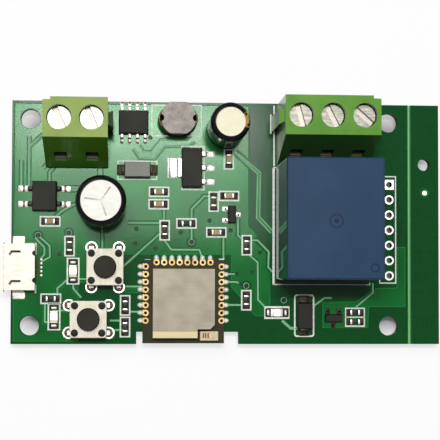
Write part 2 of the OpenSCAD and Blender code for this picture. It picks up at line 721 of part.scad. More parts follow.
module terminal_screw(i) color("whitesmoke") on_board(poles[i]) difference() {
    union() {
        translate([0, 0, bar_top + fit_gap]) cylinder(d = screw_d, h = head_z - bar_top);
        translate([0, 0, head_z]) cylinder(d = screw_head_d, h = screw_head_t);
    }
    rotate(slot_turns[i])
        block([slot_w, screw_head_d + cut, slot_depth + cut], head_z + screw_head_t - slot_depth);
}

module terminal_clamp(i) color("lightgray") on_board(poles[i]) difference() {
    block([clamp_w, clamp_d, clamp_h], clamp_rest_z);
    block([clamp_w - 2 * clamp_wall, clamp_d + cut, clamp_window_h], clamp_rest_z + clamp_floor_t);
    cylinder(d = screw_d + 2 * run_gap, h = chamber_top);
}

// A contact bar through the clamp's window, its pin through the board, and a tab in the rear window
module terminal_pins() color("silver") for (p = poles) on_board(p) {
    pin_y = [-pin_setback - terminal_pin_t / 2, -pin_setback + terminal_pin_t / 2];
    span([-bar_w / 2, bar_w / 2], [pin_y[0], clamp_d / 2 - run_gap], [bar_top - bar_t, bar_top]);
    span([-terminal_pin_w / 2, terminal_pin_w / 2], pin_y, [-pcb_t - tail_l, bar_top]);
    span(
        [-window_w / 2 + run_gap, window_w / 2 - run_gap],
        [pin_y[0] - tab_l, pin_y[1]],
        [window_z + fit_gap, window_z + fit_gap + tab_t]
    );
}

// USB socket: X runs from the mouth at 0 into the board, the wide side of the shell is up
module usb_outline(grow) {
    half = usb_w / 2 + grow;
    polygon([
        [-half, usb_h + grow], [half, usb_h + grow], [half, usb_bevel],
        [half - usb_bevel, -grow], [usb_bevel - half, -grow], [-half, usb_bevel]
    ]);
}

usb_tab_y = [usb_w / 2 - usb_bevel, usb_w / 2 + usb_tab_w];

module usb_prism(x0, x1, grow) translate([(x0 + x1) / 2, 0, 0]) across(x1 - x0) usb_outline(grow);

module usb_shell() color("whitesmoke") on_board(usb_place) difference() {
    union() {
        usb_prism(0, usb_d, 0);
        usb_prism(0, usb_flare_l, usb_flare);
        for (side = [-1, 1])
            span(
                [usb_inset[0] + usb_wall, usb_inset[0] + usb_wall + usb_tab_l],
                side > 0 ? usb_tab_y : [-usb_tab_y[1], -usb_tab_y[0]],
                [0, usb_wall]
            );
    }
    usb_prism(-cut, usb_d + cut, -usb_wall);
}

tongue_z = usb_h / 2;
tongue_tip = usb_flare_l + usb_wall;

module usb_insulator() color("dimgray") on_board(usb_place) {
    usb_prism(usb_d - usb_block_l, usb_d, -usb_wall - fit_gap);
    span([tongue_tip, usb_d - usb_block_l], [-tongue_w / 2, tongue_w / 2], [tongue_z, tongue_z + tongue_t]);
}

// Five strips under the tongue, and their tails behind the plastic block
module usb_contacts() color("gold") on_board(usb_place)
    for (i = [-2 : 2]) translate([0, i * usb_pitch, 0]) {
        span(
            [tongue_tip + usb_wall, usb_d - usb_block_l],
            [-usb_contact_w / 2, usb_contact_w / 2],
            [tongue_z - usb_contact_t, tongue_z]
        );
        translate([usb_d, 0, 0]) along(usb_contact_w) polygon([
            [0, tongue_z], [usb_contact_t, tongue_z], [usb_contact_t, usb_contact_t],
            [lead_foot, usb_contact_t], [lead_foot, 0], [0, 0]
        ]);
    }

// Push switches: legs leave the two sides across Y, the cover folds down the two sides across X
module each_switch() for (s = switches) on_board(s[0], s[1]) children();

module stakes(d, z0, z1)
    for (sx = [-1, 1], sy = [-1, 1])
        translate([sx * stake_inset, sy * stake_inset, z0]) cylinder(d = d, h = z1 - z0);

module switch_bases() color("darkslategray") each_switch() difference() {
    union() {
        block([switch_w - 2 * switch_cover_t - 2 * fit_gap, switch_w, switch_base_h], 0);
        stakes(stake_d, switch_base_h, switch_base_h + switch_cover_t + stake_h);
    }
    translate([0, 0, switch_floor_t]) cylinder(d = well_d, h = switch_base_h);
}

module switch_covers() color("whitesmoke") each_switch() {
    difference() {
        rounded_block(switch_w, switch_w, switch_base_h, switch_base_h + switch_cover_t, switch_corner_r);
        translate([0, 0, -cut]) cylinder(d = plunger_d + 2 * run_gap, h = plunger_h);
        stakes(stake_d + 2 * fit_gap, 0, plunger_h);
    }
    for (side = [-1, 1])
        translate([side * (switch_w - switch_cover_t) / 2, 0, 0])
            block(
                [switch_cover_t, switch_w - 2 * switch_corner_r, switch_skirt_h],
                switch_base_h - switch_skirt_h
            );
}

module switch_legs() color("silver") each_switch() for (p = leg_places) {
    side = sign(p[1]);
    inner = switch_w / 2;
    outer = leg_span / 2 + leg_t / 2;
    lead_bar([p[0], p[1], leg_w, leg_t], -pcb_t - tail_l, leg_z);
    span(
        [p[0] - leg_w / 2, p[0] + leg_w / 2],
        side > 0 ? [inner, outer] : [-outer, -inner],
        [leg_z - leg_t, leg_z]
    );
}

// A shallow spring steel cap on the floor of each well
module switch_domes() color("silver") each_switch() {
    rim_r = well_d / 2 - run_gap;
    steps = 8;
    arch = [for (i = [0 : steps]) let (out = 1 - i / steps)
        [rim_r * out, switch_floor_t + (dome_rise - dome_t) * (1 - out * out)]];
    upper = [for (p = arch) [p[0], p[1] + dome_t]];
    rotate_extrude() polygon(concat(arch, [for (i = [steps : -1 : 0]) upper[i]]));
}

module switch_plunger(i) color("black") on_board(switches[i][0]) {
    translate([0, 0, plunger_foot_z]) cylinder(d = plunger_d, h = plunger_h - plunger_foot_z);
    translate([0, 0, rim_top - plunger_rim_t]) cylinder(d = plunger_d + 2 * plunger_rim, h = plunger_rim_t);
}

// Wireless module: pads on the left, top and right edges, the antenna at the lower right
castellations = [
    for (i = [0 : castellation_count - 1]) each [
        [-module_w / 2, module_l / 2 - castellation_inset - i * castellation_pitch],
        [module_w / 2, module_l / 2 - castellation_inset - i * castellation_pitch],
        [(i - (castellation_count - 1) / 2) * castellation_pitch, module_l / 2]
    ]
];

module castellation_rods(d)
    for (p = castellations) translate([p[0], p[1], -cut]) cylinder(d = d, h = module_t + 2 * cut);

module module_board() color("darkgreen") on_board(module_place) difference() {
    block([module_w, module_l, module_t], 0);
    castellation_rods(castellation_d);
}

module module_castellations() color("gold") on_board(module_place) difference() {
    intersection() {
        castellation_rods(castellation_d);
        block([module_w, module_l, module_t], 0);
    }
    castellation_rods(castellation_bore);
}

module can_outline(grow) {
    half = [can_w / 2 + grow, can_l / 2 + grow];
    polygon([
        [-half[0], half[1]], [half[0], half[1]],
        [half[0], can_cut[1] - half[1] + can_cut[1] / 2],
        [half[0] - can_cut[1] / 2, can_cut[1] - half[1] + 2 * grow],
        [half[0] - can_cut[0] - 2 * grow, can_cut[1] - half[1] + 2 * grow],
        [half[0] - can_cut[0] - 2 * grow, -half[1]],
        [-half[0], -half[1]]
    ]);
}

module on_module(p) translate([0, 0, module_t]) on_board(module_place + p) children();

module module_shield_can() color("wheat") on_module(can_place) difference() {
    linear_extrude(can_h) can_outline(0);
    translate([0, 0, -cut]) linear_extrude(can_h + cut - can_t) can_outline(-can_t);
}

// Processor, memory and crystal under the can: place from the can's centre, and size
chips_inside = [
    [[-1.4, 1.8], [4, 4, 0.8]],
    [[-1.6, -2.6], [4, 2.4, 0.7]],
    [[3, 2.2], [2, 1.6, 0.6]]
];

module module_chips() color("dimgray")
    for (c = chips_inside) on_module(can_place + c[0]) block(c[1], 0);

module module_antenna() color("lightblue") on_module([
    module_w / 2 - antenna_inset[0] - antenna_size[0] / 2,
    can_place[1] - can_l / 2 - antenna_inset[1] + antenna_size[1] / 2
]) block(antenna_size, 0);

// Upright capacitors: each layer follows the crimp groove around the bung
function crimped_wall(r, z0, z1) = [
    [r, z0], [r, crimp_z - crimp_depth], [r - crimp_depth, crimp_z], [r, crimp_z + crimp_depth], [r, z1]
];

module capacitor_can(c) on_board(c[0]) {
    r = c[1] / 2 - sleeve_t;
    top = c[2] - sleeve_t;
    inner = r - capacitor_wall;
    outside = crimped_wall(r, sleeve_t, top);
    inside = crimped_wall(inner, sleeve_t, top - capacitor_wall);
    rotate_extrude() polygon(concat(
        outside, [[0, top], [0, top - capacitor_wall]], [for (i = [4 : -1 : 0]) inside[i]]
    ));
}

module capacitor_sleeve(c) on_board(c[0]) {
    r = c[1] / 2;
    outside = crimped_wall(r, 0, c[2]);
    inside = crimped_wall(r - sleeve_t, 0, c[2] - sleeve_t);
    lap = r - sleeve_t - sleeve_lap;
    rotate_extrude() polygon(concat(
        outside, [[lap, c[2]], [lap, c[2] - sleeve_t]], [for (i = [4 : -1 : 0]) inside[i]]
    ));
}

module input_capacitor_can() color("silver") capacitor_can(input_capacitor);

module input_capacitor_sleeve() color("black") capacitor_sleeve(input_capacitor);

module output_capacitor_can() color("khaki") capacitor_can(output_capacitor);

module output_capacitor_sleeve() color("black") capacitor_sleeve(output_capacitor);

function inner_r(c) = c[1] / 2 - sleeve_t - capacitor_wall;

module capacitor_bungs() color("dimgray") for (c = capacitors) on_board(c[0]) difference() {
    rotate_extrude() polygon(concat([[0, 0]], crimped_wall(inner_r(c) - fit_gap, 0, bung_h), [[0, bung_h]]));
    for (side = [-1, 1]) translate([side * c[3] / 2, 0, -cut])
        cylinder(d = capacitor_lead_d + 2 * fit_gap, h = bung_h + 2 * cut);
}

module capacitor_leads() color("silver") for (c = capacitors, side = [-1, 1]) on_board(c[0])
    lead_bar([side * c[3] / 2, 0, capacitor_lead_d], -pcb_t - tail_l, bung_h);

module capacitor_elements() color("burlywood") for (c = capacitors) on_board(c[0])
    translate([0, 0, bung_h])
        cylinder(r = inner_r(c) - run_gap, h = c[2] - sleeve_t - capacitor_wall - bung_h - run_gap);

// Inductor: a drum core with two flat sides, and wire notches at its ends
module flange_outline() difference() {
    intersection() {
        circle(d = inductor_d);
        square([inductor_d + cut, inductor_flat], center = true);
    }
    for (side = [-1, 1]) translate([side * inductor_d / 2, 0]) circle(inductor_notch_r);
}

module inductor_core() color("slategray") on_board(inductor_place) {
    linear_extrude(inductor_flange_t) flange_outline();
    translate([0, 0, inductor_h - inductor_flange_t]) linear_extrude(inductor_flange_t) flange_outline();
    cylinder(d = inductor_neck_d, h = inductor_h);
}

module inductor_winding() color("chocolate") on_board(inductor_place)
    translate([0, 0, inductor_flange_t]) linear_extrude(inductor_h - 2 * inductor_flange_t) difference() {
        intersection() {
            circle(d = winding_d);
            square([winding_d + cut, inductor_flat - 2 * run_gap], center = true);
        }
        circle(d = inductor_neck_d + 2 * fit_gap);
    }

// Moulded bodies, widest at the line where their leads come out
module drafted(w, h) polygon([
    [body_draft - w / 2, 0], [w / 2 - body_draft, 0], [w / 2, h / 2],
    [w / 2 - body_draft, h], [body_draft - w / 2, h], [-w / 2, h / 2]
]);

module moulded(size) translate([0, 0, body_standoff]) intersection() {
    across(size[0] + cut) drafted(size[1], size[2]);
    along(size[1] + cut) drafted(size[0], size[2]);
}

function parting_z(size) = body_standoff + size[2] / 2;

module buck_converter() color("darkslategray") on_board(buck_place) moulded(buck_size);

module bridge_rectifier() color("dimgray") on_board(rectifier_place) moulded(rectifier_size);

module voltage_regulator() color("darkslategray") on_board(regulator_place) moulded(regulator_size);

module transistors() color("black") for (p = transistor_places) on_board(p[0], p[1]) moulded(transistor_size);

module diodes() color("dimgray") for (p = diode_places) on_board(p[0], p[1]) moulded(diode_size);

// A gull-wing lead that leaves a body at x and reaches past it to its foot, which is shorter on a short lead
module gull_lead(x, z, reach, w) {
    knee = x + reach * (1 - lead_foot / lead_reach);
    along(w) polygon([
        [x, z + lead_t / 2], [knee, z + lead_t / 2], [knee + lead_t, lead_t], [x + reach, lead_t],
        [x + reach, 0], [knee, 0], [knee - lead_t, z - lead_t / 2], [x, z - lead_t / 2]
    ]);
}

// A flat lead that leaves a diode's end and folds under it
module folded_lead(x, z, w) along(w) polygon([
    [x, z], [x + 2 * lead_t, z], [x + 2 * lead_t, 0], [x - 2 * lead_foot, 0],
    [x - 2 * lead_foot, body_standoff], [x + lead_t, body_standoff], [x + lead_t, z - lead_t], [x, z - lead_t]
]);

// Leads of each package: count and pitch on one side, and width
module lead_row(count, pitch, size_x, z, reach, w)
    for (i = [0 : count - 1])
        translate([0, (i - (count - 1) / 2) * pitch, 0]) gull_lead(size_x / 2, z, reach, w);

buck_leads = [4, 1.27, 0.42];
rectifier_leads = [2, 2.5, 0.7];
regulator_leads = [3, 2.3, 0.75];
regulator_tab_w = 3;
transistor_leads = [2, 1.9, 0.42];
diode_lead_w = 1.5;

module package_leads() color("silver") {
    on_board(buck_place) for (a = [90, 270]) rotate(a)
        lead_row(buck_leads[0], buck_leads[1], buck_size[1], parting_z(buck_size), lead_reach, buck_leads[2]);
    on_board(rectifier_place) for (a = [0, 180]) rotate(a)
        lead_row(rectifier_leads[0], rectifier_leads[1], rectifier_size[0],
            parting_z(rectifier_size), lead_reach, rectifier_leads[2]);
    on_board(regulator_place) {
        lead_row(regulator_leads[0], regulator_leads[1], regulator_size[0],
            parting_z(regulator_size), lead_reach, regulator_leads[2]);
        rotate(180)
            lead_row(1, 0, regulator_size[0], parting_z(regulator_size), lead_reach, regulator_tab_w);
    }
    for (p = transistor_places) on_board(p[0], p[1]) {
        lead_row(1, 0, transistor_size[0], parting_z(transistor_size), transistor_reach, transistor_leads[2]);
        rotate(180) lead_row(transistor_leads[0], transistor_leads[1], transistor_size[0],
            parting_z(transistor_size), transistor_reach, transistor_leads[2]);
    }
    for (p = diode_places, a = [0, 180]) on_board(p[0], p[1] + a)
        folded_lead(diode_size[0] / 2, parting_z(diode_size) + lead_t / 2, diode_lead_w);
}

// Chips and LEDs
module each_place(places) for (p = places) on_board(p[0], p[1]) children();

module chip_body(size) block([size[0] - 2 * termination_l, size[1], size[2]], 0);

module chip_ends(size) for (side = [-1, 1])
    translate([side * (size[0] - termination_l) / 2, 0, 0]) block([termination_l, size[1], size[2]], 0);

module chip_capacitors() color("tan") each_place(capacitor_chip_places) chip_body(capacitor_chip);

module chip_resistors() color("black") each_place(resistor_chip_places) chip_body(resistor_chip);

module chip_terminations() color("whitesmoke") {
    each_place(capacitor_chip_places) chip_ends(capacitor_chip);
    each_place(resistor_chip_places) chip_ends(resistor_chip);
}

module status_leds() color("honeydew") each_place(led_places) {
    block(led_size, 0);
    block([led_lens_l, led_size[1], led_size[2] + led_lens_h], 0);
}

pcb();
solder_joints();
relay_cover();
relay_base();
relay_bobbin();
relay_coil();
relay_core();
relay_yoke();
relay_armature();
relay_contact_leaf();
relay_make_contact();
relay_break_contact();
relay_pins();
supply_terminal_housing();
load_terminal_housing();
terminal_pins();
for (i = [0 : len(poles) - 1]) {
    terminal_screw(i);
    terminal_clamp(i);
}
usb_shell();
usb_insulator();
usb_contacts();
switch_bases();
switch_covers();
switch_legs();
switch_domes();
for (i = [0 : len(switches) - 1])
    switch_plunger(i);
module_board();
module_castellations();
module_shield_can();
module_chips();
module_antenna();
input_capacitor_can();
input_capacitor_sleeve();
output_capacitor_can();
output_capacitor_sleeve();
capacitor_bungs();
capacitor_leads();
capacitor_elements();
inductor_core();
inductor_winding();
buck_converter();
bridge_rectifier();
voltage_regulator();
transistors();
diodes();
package_leads();
chip_capacitors();
chip_resistors();
chip_terminations();
status_leds();
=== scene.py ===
import math
import bpy
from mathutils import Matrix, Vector


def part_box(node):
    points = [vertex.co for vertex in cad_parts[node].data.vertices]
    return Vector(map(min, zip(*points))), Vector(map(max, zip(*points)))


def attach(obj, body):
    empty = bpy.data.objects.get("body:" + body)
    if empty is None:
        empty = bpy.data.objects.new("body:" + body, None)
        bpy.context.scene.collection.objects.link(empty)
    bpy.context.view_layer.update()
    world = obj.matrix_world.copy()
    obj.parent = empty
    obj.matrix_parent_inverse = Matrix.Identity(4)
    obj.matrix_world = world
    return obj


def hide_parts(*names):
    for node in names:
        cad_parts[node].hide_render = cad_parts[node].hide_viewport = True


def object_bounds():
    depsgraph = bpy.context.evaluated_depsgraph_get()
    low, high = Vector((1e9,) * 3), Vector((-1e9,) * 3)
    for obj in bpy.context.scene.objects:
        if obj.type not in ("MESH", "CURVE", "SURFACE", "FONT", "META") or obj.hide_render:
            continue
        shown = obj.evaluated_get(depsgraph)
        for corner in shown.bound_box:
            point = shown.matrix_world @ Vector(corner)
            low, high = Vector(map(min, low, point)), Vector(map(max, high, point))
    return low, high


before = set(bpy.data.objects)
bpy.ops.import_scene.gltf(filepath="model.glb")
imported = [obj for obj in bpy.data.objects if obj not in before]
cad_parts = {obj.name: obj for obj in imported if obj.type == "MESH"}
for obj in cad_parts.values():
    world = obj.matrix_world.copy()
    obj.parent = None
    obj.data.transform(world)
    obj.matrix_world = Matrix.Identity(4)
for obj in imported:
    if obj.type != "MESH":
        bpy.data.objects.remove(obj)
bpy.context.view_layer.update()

# Bare board: a panel of glass cloth and epoxy, 1.6 mm thick, under a green lacquer mask.
# It is milled to its outline, drilled, and scored for a break-off rail on the right.
# The milled edges and the score show the raw, paler laminate; the drilled walls are painted dark green, a
# painted shade.
MM = 0.001
BOARD_TOP = 1.6
PLAIN_GLOSS = 0.12
BARE_GLOSS = 0.085
CUT_BELOW = 0.02
SCORE_X = 33.25


def swatch(red, green, blue):
    """A colour as a swatch book gives it, 0 to 255, in Blender's linear values."""
    parts = [v / 255 for v in (red, green, blue)]
    return tuple(v / 12.92 if v < 0.04 else ((v + 0.055) / 1.055) ** 2.4 for v in parts) + (1.0,)


def plug(tree, node, sockets):
    """Gives the sockets of a node their values or links."""
    for name, value in sockets.items():
        if isinstance(value, Wire):
            tree.links.new(value.socket, node.inputs[name])
        else:
            node.inputs[name].default_value = value


class Wire:
    """A shader socket that takes part in sums: each sum adds its Math node."""

    def __init__(self, tree, socket=None):
        self.tree = tree
        self.socket = socket

    def node(self, kind, settings=None, sockets=None, out=0):
        """Any node: its type, its settings, then the values or links of its sockets."""
        made = self.tree.nodes.new("ShaderNode" + kind)
        for name, value in (settings or {}).items():
            setattr(made, name, value)
        plug(self.tree, made, sockets or {})
        return Wire(self.tree, made.outputs[out])

    def sum_of(self, operation, other=0.0):
        return self.node("Math", {"operation": operation}, {0: self, 1: other})

    def __add__(self, other):
        return self.sum_of("ADD", other)

    __radd__ = __add__

    def __sub__(self, other):
        return self.sum_of("SUBTRACT", other)

    def __rsub__(self, other):
        return self.node("Math", {"operation": "SUBTRACT"}, {0: other, 1: self})

    def __mul__(self, other):
        return self.sum_of("MULTIPLY", other)

    __rmul__ = __mul__

    def __gt__(self, other):
        return self.sum_of("GREATER_THAN", other)

    def __lt__(self, other):
        return self.sum_of("LESS_THAN", other)

    def __or__(self, other):
        return self.sum_of("MAXIMUM", other)

    def __abs__(self):
        return self.sum_of("ABSOLUTE")

    def fraction(self):
        """What is left over after whole steps, 0 to 1."""
        return self.sum_of("FRACT")

    def between(self, low, high):
        """0 at low, 1 at high, straight between."""
        return self.node("MapRange", {"clamp": True}, {0: self, 1: low, 2: high})

    def mix(self, first, second):
        """The first colour where this is 0, the second where it is 1: links, or swatches."""
        first, second = (tone if isinstance(tone, Wire) else swatch(*tone) for tone in (first, second))
        return self.node("Mix", {"data_type": "RGBA"}, {0: self, 6: first, 7: second}, out=2)

    def mottle(self, dark, light, spread=0.15):
        """Two tones that run into each other where this is about one half."""
        return self.between(0.5 - spread, 0.5 + spread).mix(dark, light)

    def noise(self, scale, stretch=(1.0, 1.0, 1.0), detail=2.0):
        laid = self.node("Mapping", {}, {"Vector": self, "Scale": stretch})
        return self.node("TexNoise", {}, {"Vector": laid, "Scale": scale, "Detail": detail})

    def part(self, axis):
        return self.node("SeparateXYZ", {}, {0: self}, out=axis)

    x = property(lambda wire: wire.part("X"))
    y = property(lambda wire: wire.part("Y"))
    z = property(lambda wire: wire.part("Z"))

    def inside(self, x, y, half_x, half_y):
        """1 in a box on the board, given by its middle and half its sizes."""
        return (abs(self.x - x) < half_x) * (abs(self.y - y) < half_y)

    def flatness(self):
        """1 where the surface lies flat, 0 on an upright wall."""
        return abs(self.node("NewGeometry", out="Normal").z)

    def bump(self, height, depth):
        return self.node("Bump", {}, {"Height": height, "Distance": depth * MM})


def finish(name, looks, gloss=PLAIN_GLOSS, **fixed):
    """A material: looks gives what changes over the surface from the place on it in mm."""
    made = bpy.data.materials.new(name)
    made.use_nodes = True
    tree = made.node_tree
    spot = Wire(tree).node("TexCoord", out="Object")
    spot = spot.node("VectorMath", {"operation": "SCALE"}, {0: spot, "Scale": 1 / MM})
    plug(tree, tree.nodes["Principled BSDF"], {**looks(spot), "Specular IOR Level": gloss, **fixed})
    return made


def dress(node, material):
    """Gives a part of the frame its finish."""
    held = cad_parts[node].data.materials
    held.clear()
    held.append(material)


def bare_board(spot):
    cloth = 0.5 * (spot.noise(1.0, (0.5, 4.0, 1.0)) + spot.noise(1.0, (4.0, 0.5, 1.0)))
    lacquer = cloth.mottle((9, 71, 29), (13, 79, 33))
    layers = spot.noise(1.0, (0.6, 0.6, 9.0))
    cut_tone = layers.mottle((150, 184, 134), (104, 146, 98))
    cut = (spot.z < BOARD_TOP - CUT_BELOW) * (spot.z > CUT_BELOW)
    milled = (abs(spot.y) > 17.9) | (spot.x < -32.7) | (spot.x > 38.2)
    # Drilled walls, away from the milled outline, take a dark painted shade in place of the raw laminate.
    cut_tone = milled.mix((24, 44, 30), cut_tone)
    score = abs(spot.x - SCORE_X)
    cut_tone = (score < 0.3).mix(cut_tone, score.between(0.05, 0.2).mix((160, 216, 165), (85, 150, 90)))
    return {
        "Base Color": cut.mix(lacquer, cut_tone),
        "Roughness": 0.08 + 0.04 * cloth + 0.5 * cut,
        "Normal": spot.bump(cloth, 0.0015),
    }


dress("pcb", finish("bare_board", bare_board, BARE_GLOSS))

# Copper under the mask: foil etched into pours and tracks on the front of the board.
# The lacquer over it is a brighter green than over bare laminate. Along every etched edge it
# takes a pale rim: partly the thinner lacquer there, partly a painted highlight.
FOIL = 0.045
RIM = 0.13
GAP = 0.26
THROUGH = 0.3
front_pours = [
    [(-32.4, 19.6), (6.35, 19.6), (6.35, -0.45), (7.9, -2.05), (7.2, -2.9), (9.2, -5.0), (9.1, -7.5),
     (9.9, -8.3), (9.9, -15.45), (7.5, -15.4), (6.6, -14.6), (5.35, -14.55), (5.35, -12.75),
     (3.35, -10.6), (3.35, -5.3), (-14.4, -5.3), (-14.4, -10.0), (-21.75, -10.0), (-21.75, -19.6),
     (-32.4, -19.6)],
    [(-14.25, -10.85), (-11.95, -10.85), (-11.95, -11.65), (-14.25, -11.65)],
    [(18.6, -13.05), (24.25, -12.9), (27.2, -10.75), (31.1, -10.6), (31.1, -3.8), (32.6, -3.8),
     (32.6, -13.85), (26.45, -13.85), (26.3, -17.35), (18.6, -17.35)],
]
FINE_TRACK = 0.3
front_runs = [
    (1.2, [(-12.35, 12.5), (-11.55, 11.2), (-9.65, 11.1), (-8.0, 13.2), (-4.0, 13.25), (-3.0, 13.95)]),
    (0.7, [(4.0, 11.85), (8.0, 8.35), (7.85, 1.0), (10.15, -1.45)]),
    (0.7, [(-24.2, 5.5), (-20.0, 5.5)]),
    (0.6, [(-18.3, 10.6), (-18.3, 6.0)]),
    (0.45, [(11.85, -16.1), (13.3, -17.4), (14.6, -17.4)]),
]
front_runs += [(FINE_TRACK, run) for run in [
    [(-28.4, -2.2), (-26.5, -3.95), (-26.45, -5.75), (-27.9, -6.6)],
    [(-28.85, -2.65), (-27.35, -4.2), (-27.35, -5.35), (-27.9, -5.95)], [(-23.4, -1.75), (-23.25, -2.7)],
    [(-23.4, -9.3), (-25.2, -10.9), (-25.2, -12.2)], [(-22.9, -9.35), (-20.0, -9.35)],
    [(-22.6, -10.0), (-22.6, -10.9), (-21.3, -12.4)], [(-25.4, -14.6), (-23.0, -14.35)],
    [(-27.2, -12.9), (-27.2, -16.4), (-26.0, -16.4)], [(-16.6, -16.15), (-14.3, -16.15)],
    [(-16.6, -17.7), (-14.3, -17.7)], [(-31.2, 10.15), (-31.2, 5.2)], [(-29.95, 14.1), (-29.95, 5.6)],
    [(-29.8, 12.5), (-27.5, 14.6)], [(-27.6, 8.85), (-26.0, 10.8)],
    [(-26.6, 6.4), (-26.6, 8.2), (-25.25, 9.7)], [(-25.6, 0.9), (-24.4, 1.9), (-22.6, 2.9), (-20.8, 2.9)],
    [(-13.7, -0.05), (-8.1, -0.05)], [(-8.1, -1.5), (-14.4, -7.2)], [(-17.9, -1.2), (-17.9, -4.2)],
    [(-7.7, -2.85), (-6.55, -4.45), (-1.9, -4.45), (-1.35, -6.0)],
    [(0.2, 4.45), (-1.1, 4.45), (-3.2, 2.3), (-3.2, 0.2)], [(-3.2, -0.3), (-3.2, -3.1)],
    [(2.1, -1.7), (2.1, -6.0)], [(-7.8, 4.25), (-7.75, 0.2)], [(-14.55, -10.55), (-11.3, -10.55)],
    [(-13.4, -14.7), (-11.3, -14.7)], [(2.3, -8.45), (4.1, -8.45)],
    [(2.3, -9.75), (4.2, -9.75), (4.75, -9.95)], [(2.3, -13.55), (5.0, -13.55)],
    [(4.5, 0.7), (4.5, -2.05), (5.4, -2.75)],
    [(6.3, -2.8), (7.8, -2.85), (9.65, -4.75), (9.55, -7.3), (10.3, -8.1)],
    [(6.3, -5.2), (7.8, -6.5), (7.85, -12.65), (9.3, -14.2)],
    [(16.6, -14.1), (19.0, -12.35), (20.2, -12.35)], [(24.2, -13.9), (27.1, -11.5), (27.1, -9.9)],
]]
mounting_holes = [(-29.75, 17.0), (29.75, 17.0), (-29.75, -17.0), (29.75, -17.0)]


def placed(name, data):
    """A new object in the scene, at the origin."""
    piece = bpy.data.objects.new(name, data)
    bpy.context.collection.objects.link(piece)
    return piece


def edit_mode():
    bpy.ops.object.mode_set(mode="EDIT")


def object_mode():
    bpy.ops.object.mode_set(mode="OBJECT")


def take_all():
    """Selects the whole mesh in edit mode."""
    bpy.ops.mesh.select_all(action="SELECT")


def work_on(piece):
    """Makes one piece the only one selected, and the active one."""
    bpy.ops.object.select_all(action="DESELECT")
    piece.select_set(True)
    bpy.context.view_layer.objects.active = piece


def join(name, parts):
    """Joins meshes into one piece."""
    work_on(parts[0])
    for part in parts[1:]:
        part.select_set(True)
    bpy.ops.object.join()
    parts[0].name = name
    return parts[0]


def bench(name, runs, closed, steps=1):
    """A flat drawing of straight runs, turned into a mesh that lies at height 0."""
    drawing = bpy.data.curves.new(name, "CURVE")
    drawing.dimensions = "2D"
    drawing.use_fill_caps = True
    if closed:
        drawing.fill_mode = "BOTH"
        drawing.bevel_depth = RIM * MM
        drawing.offset = -RIM * MM
        drawing.bevel_resolution = 0
    else:
        drawing.bevel_depth = 0.5 * MM
        drawing.bevel_resolution = steps
    for width, points in runs:
        line = drawing.splines.new("POLY")
        line.points.add(len(points) - 1)
        line.use_cyclic_u = closed
        for point, (x, y) in zip(line.points, points):
            point.co = (x * MM, y * MM, 0, 1)
            point.radius = width
    piece = placed(name, drawing)
    work_on(piece)
    bpy.ops.object.convert(target="MESH")
    edit_mode()
    take_all()
    bpy.ops.mesh.remove_doubles(threshold=0.001 * MM)
    bpy.ops.mesh.normals_make_consistent(inside=False)
    object_mode()
    bpy.ops.object.shade_flat()
    return piece


def size_and_set(size, place):
    """Sizes what is selected about the origin, then moves it to its place in mm."""
    bpy.ops.transform.resize(value=size, center_override=(0, 0, 0))
    bpy.ops.transform.translate(value=Vector(place) * MM)


def set_flat(piece, squeeze, height):
    """Presses a bench piece flat and lifts it to its height."""
    work_on(piece)
    edit_mode()
    take_all()
    size_and_set((1, 1, squeeze), (0, 0, height))
    object_mode()


def drum(x, y, radius, low, high, sides=32):
    """A round bar between two heights, to cut with or to shape further."""
    bpy.ops.mesh.primitive_cylinder_add(
        vertices=sides, radius=radius * MM, depth=(high - low) * MM,
        location=(x * MM, y * MM, (low + high) / 2 * MM))
    bpy.ops.object.transform_apply(location=True)
    return bpy.context.object


def cut_away(piece, cutter):
    """Takes one mesh out of another and clears the cutter away."""
    work_on(piece)
    cut = piece.modifiers.new("cut", "BOOLEAN")
    cut.object, cut.operation, cut.solver, cut.use_self = cutter, "DIFFERENCE", "EXACT", True
    bpy.ops.object.modifier_apply(modifier="cut")
    bpy.data.objects.remove(cutter)


def fit(piece, material, body="board", stands_for=""):
    """Finishes a piece: its material and the body it rides on, and hides the frame part it stands for."""
    piece.data.materials.clear()
    piece.data.materials.append(material)
    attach(piece, body)
    if stands_for:
        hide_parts(stands_for)


def masked_copper(edge):
    """Lacquer over foil, with a paler tone on its etched edges: thinner lacquer and a painted highlight."""
    def looks(spot):
        grain = spot.noise(3.0)
        green = spot.noise(0.12).mottle((8, 94, 36), (15, 110, 45))
        # Sloped edges take the edge tone: partly thinner lacquer, partly a painted highlight.
        rim = spot.flatness() < 0.97
        return {
            "Base Color": rim.mix(green, edge),
            "Metallic": 0.035,
            "Roughness": 0.08 + 0.04 * grain,
            "Normal": spot.bump(grain, 0.003),
        }
    return looks


lacquered = finish("masked_copper", masked_copper((34, 128, 64)))
raised = finish("masked_tracks", masked_copper((132, 192, 146)))
via_places = [(-12.3, -1.0), (-12.5, -3.45), (-9.15, -4.2), (-5.0, -1.55), (-0.25, 0.4), (3.25, -1.2),
              (8.15, -4.85), (6.75, -8.1), (-24.9, -5.25), (4.3, -8.35), (5.0, -10.0), (-10.1, 14.1)]
ring_vias = [(-23.4, -1.75), (-28.4, -2.2), (-3.2, -3.2), (5.9, -10.35), (12.15, -12.75)]


def etched(name, outlines, runs, level, rise, holes):
    """Pours of foil on one face of the board, cleared beside each track and round each hole."""
    pours = bench(name, [(1, outline) for outline in outlines], True)
    set_flat(pours, FOIL / RIM, level)
    channels = bench("channels", [(width + 2 * GAP, run) for width, run in runs], False)
    set_flat(channels, 0.25, level + rise)
    gaps = [channels]
    for radius, places in holes:
        gaps += [drum(x, y, radius, level - THROUGH, level + THROUGH) for x, y in places]
    cut_away(pours, join("clearances", gaps))
    fit(pours, lacquered)


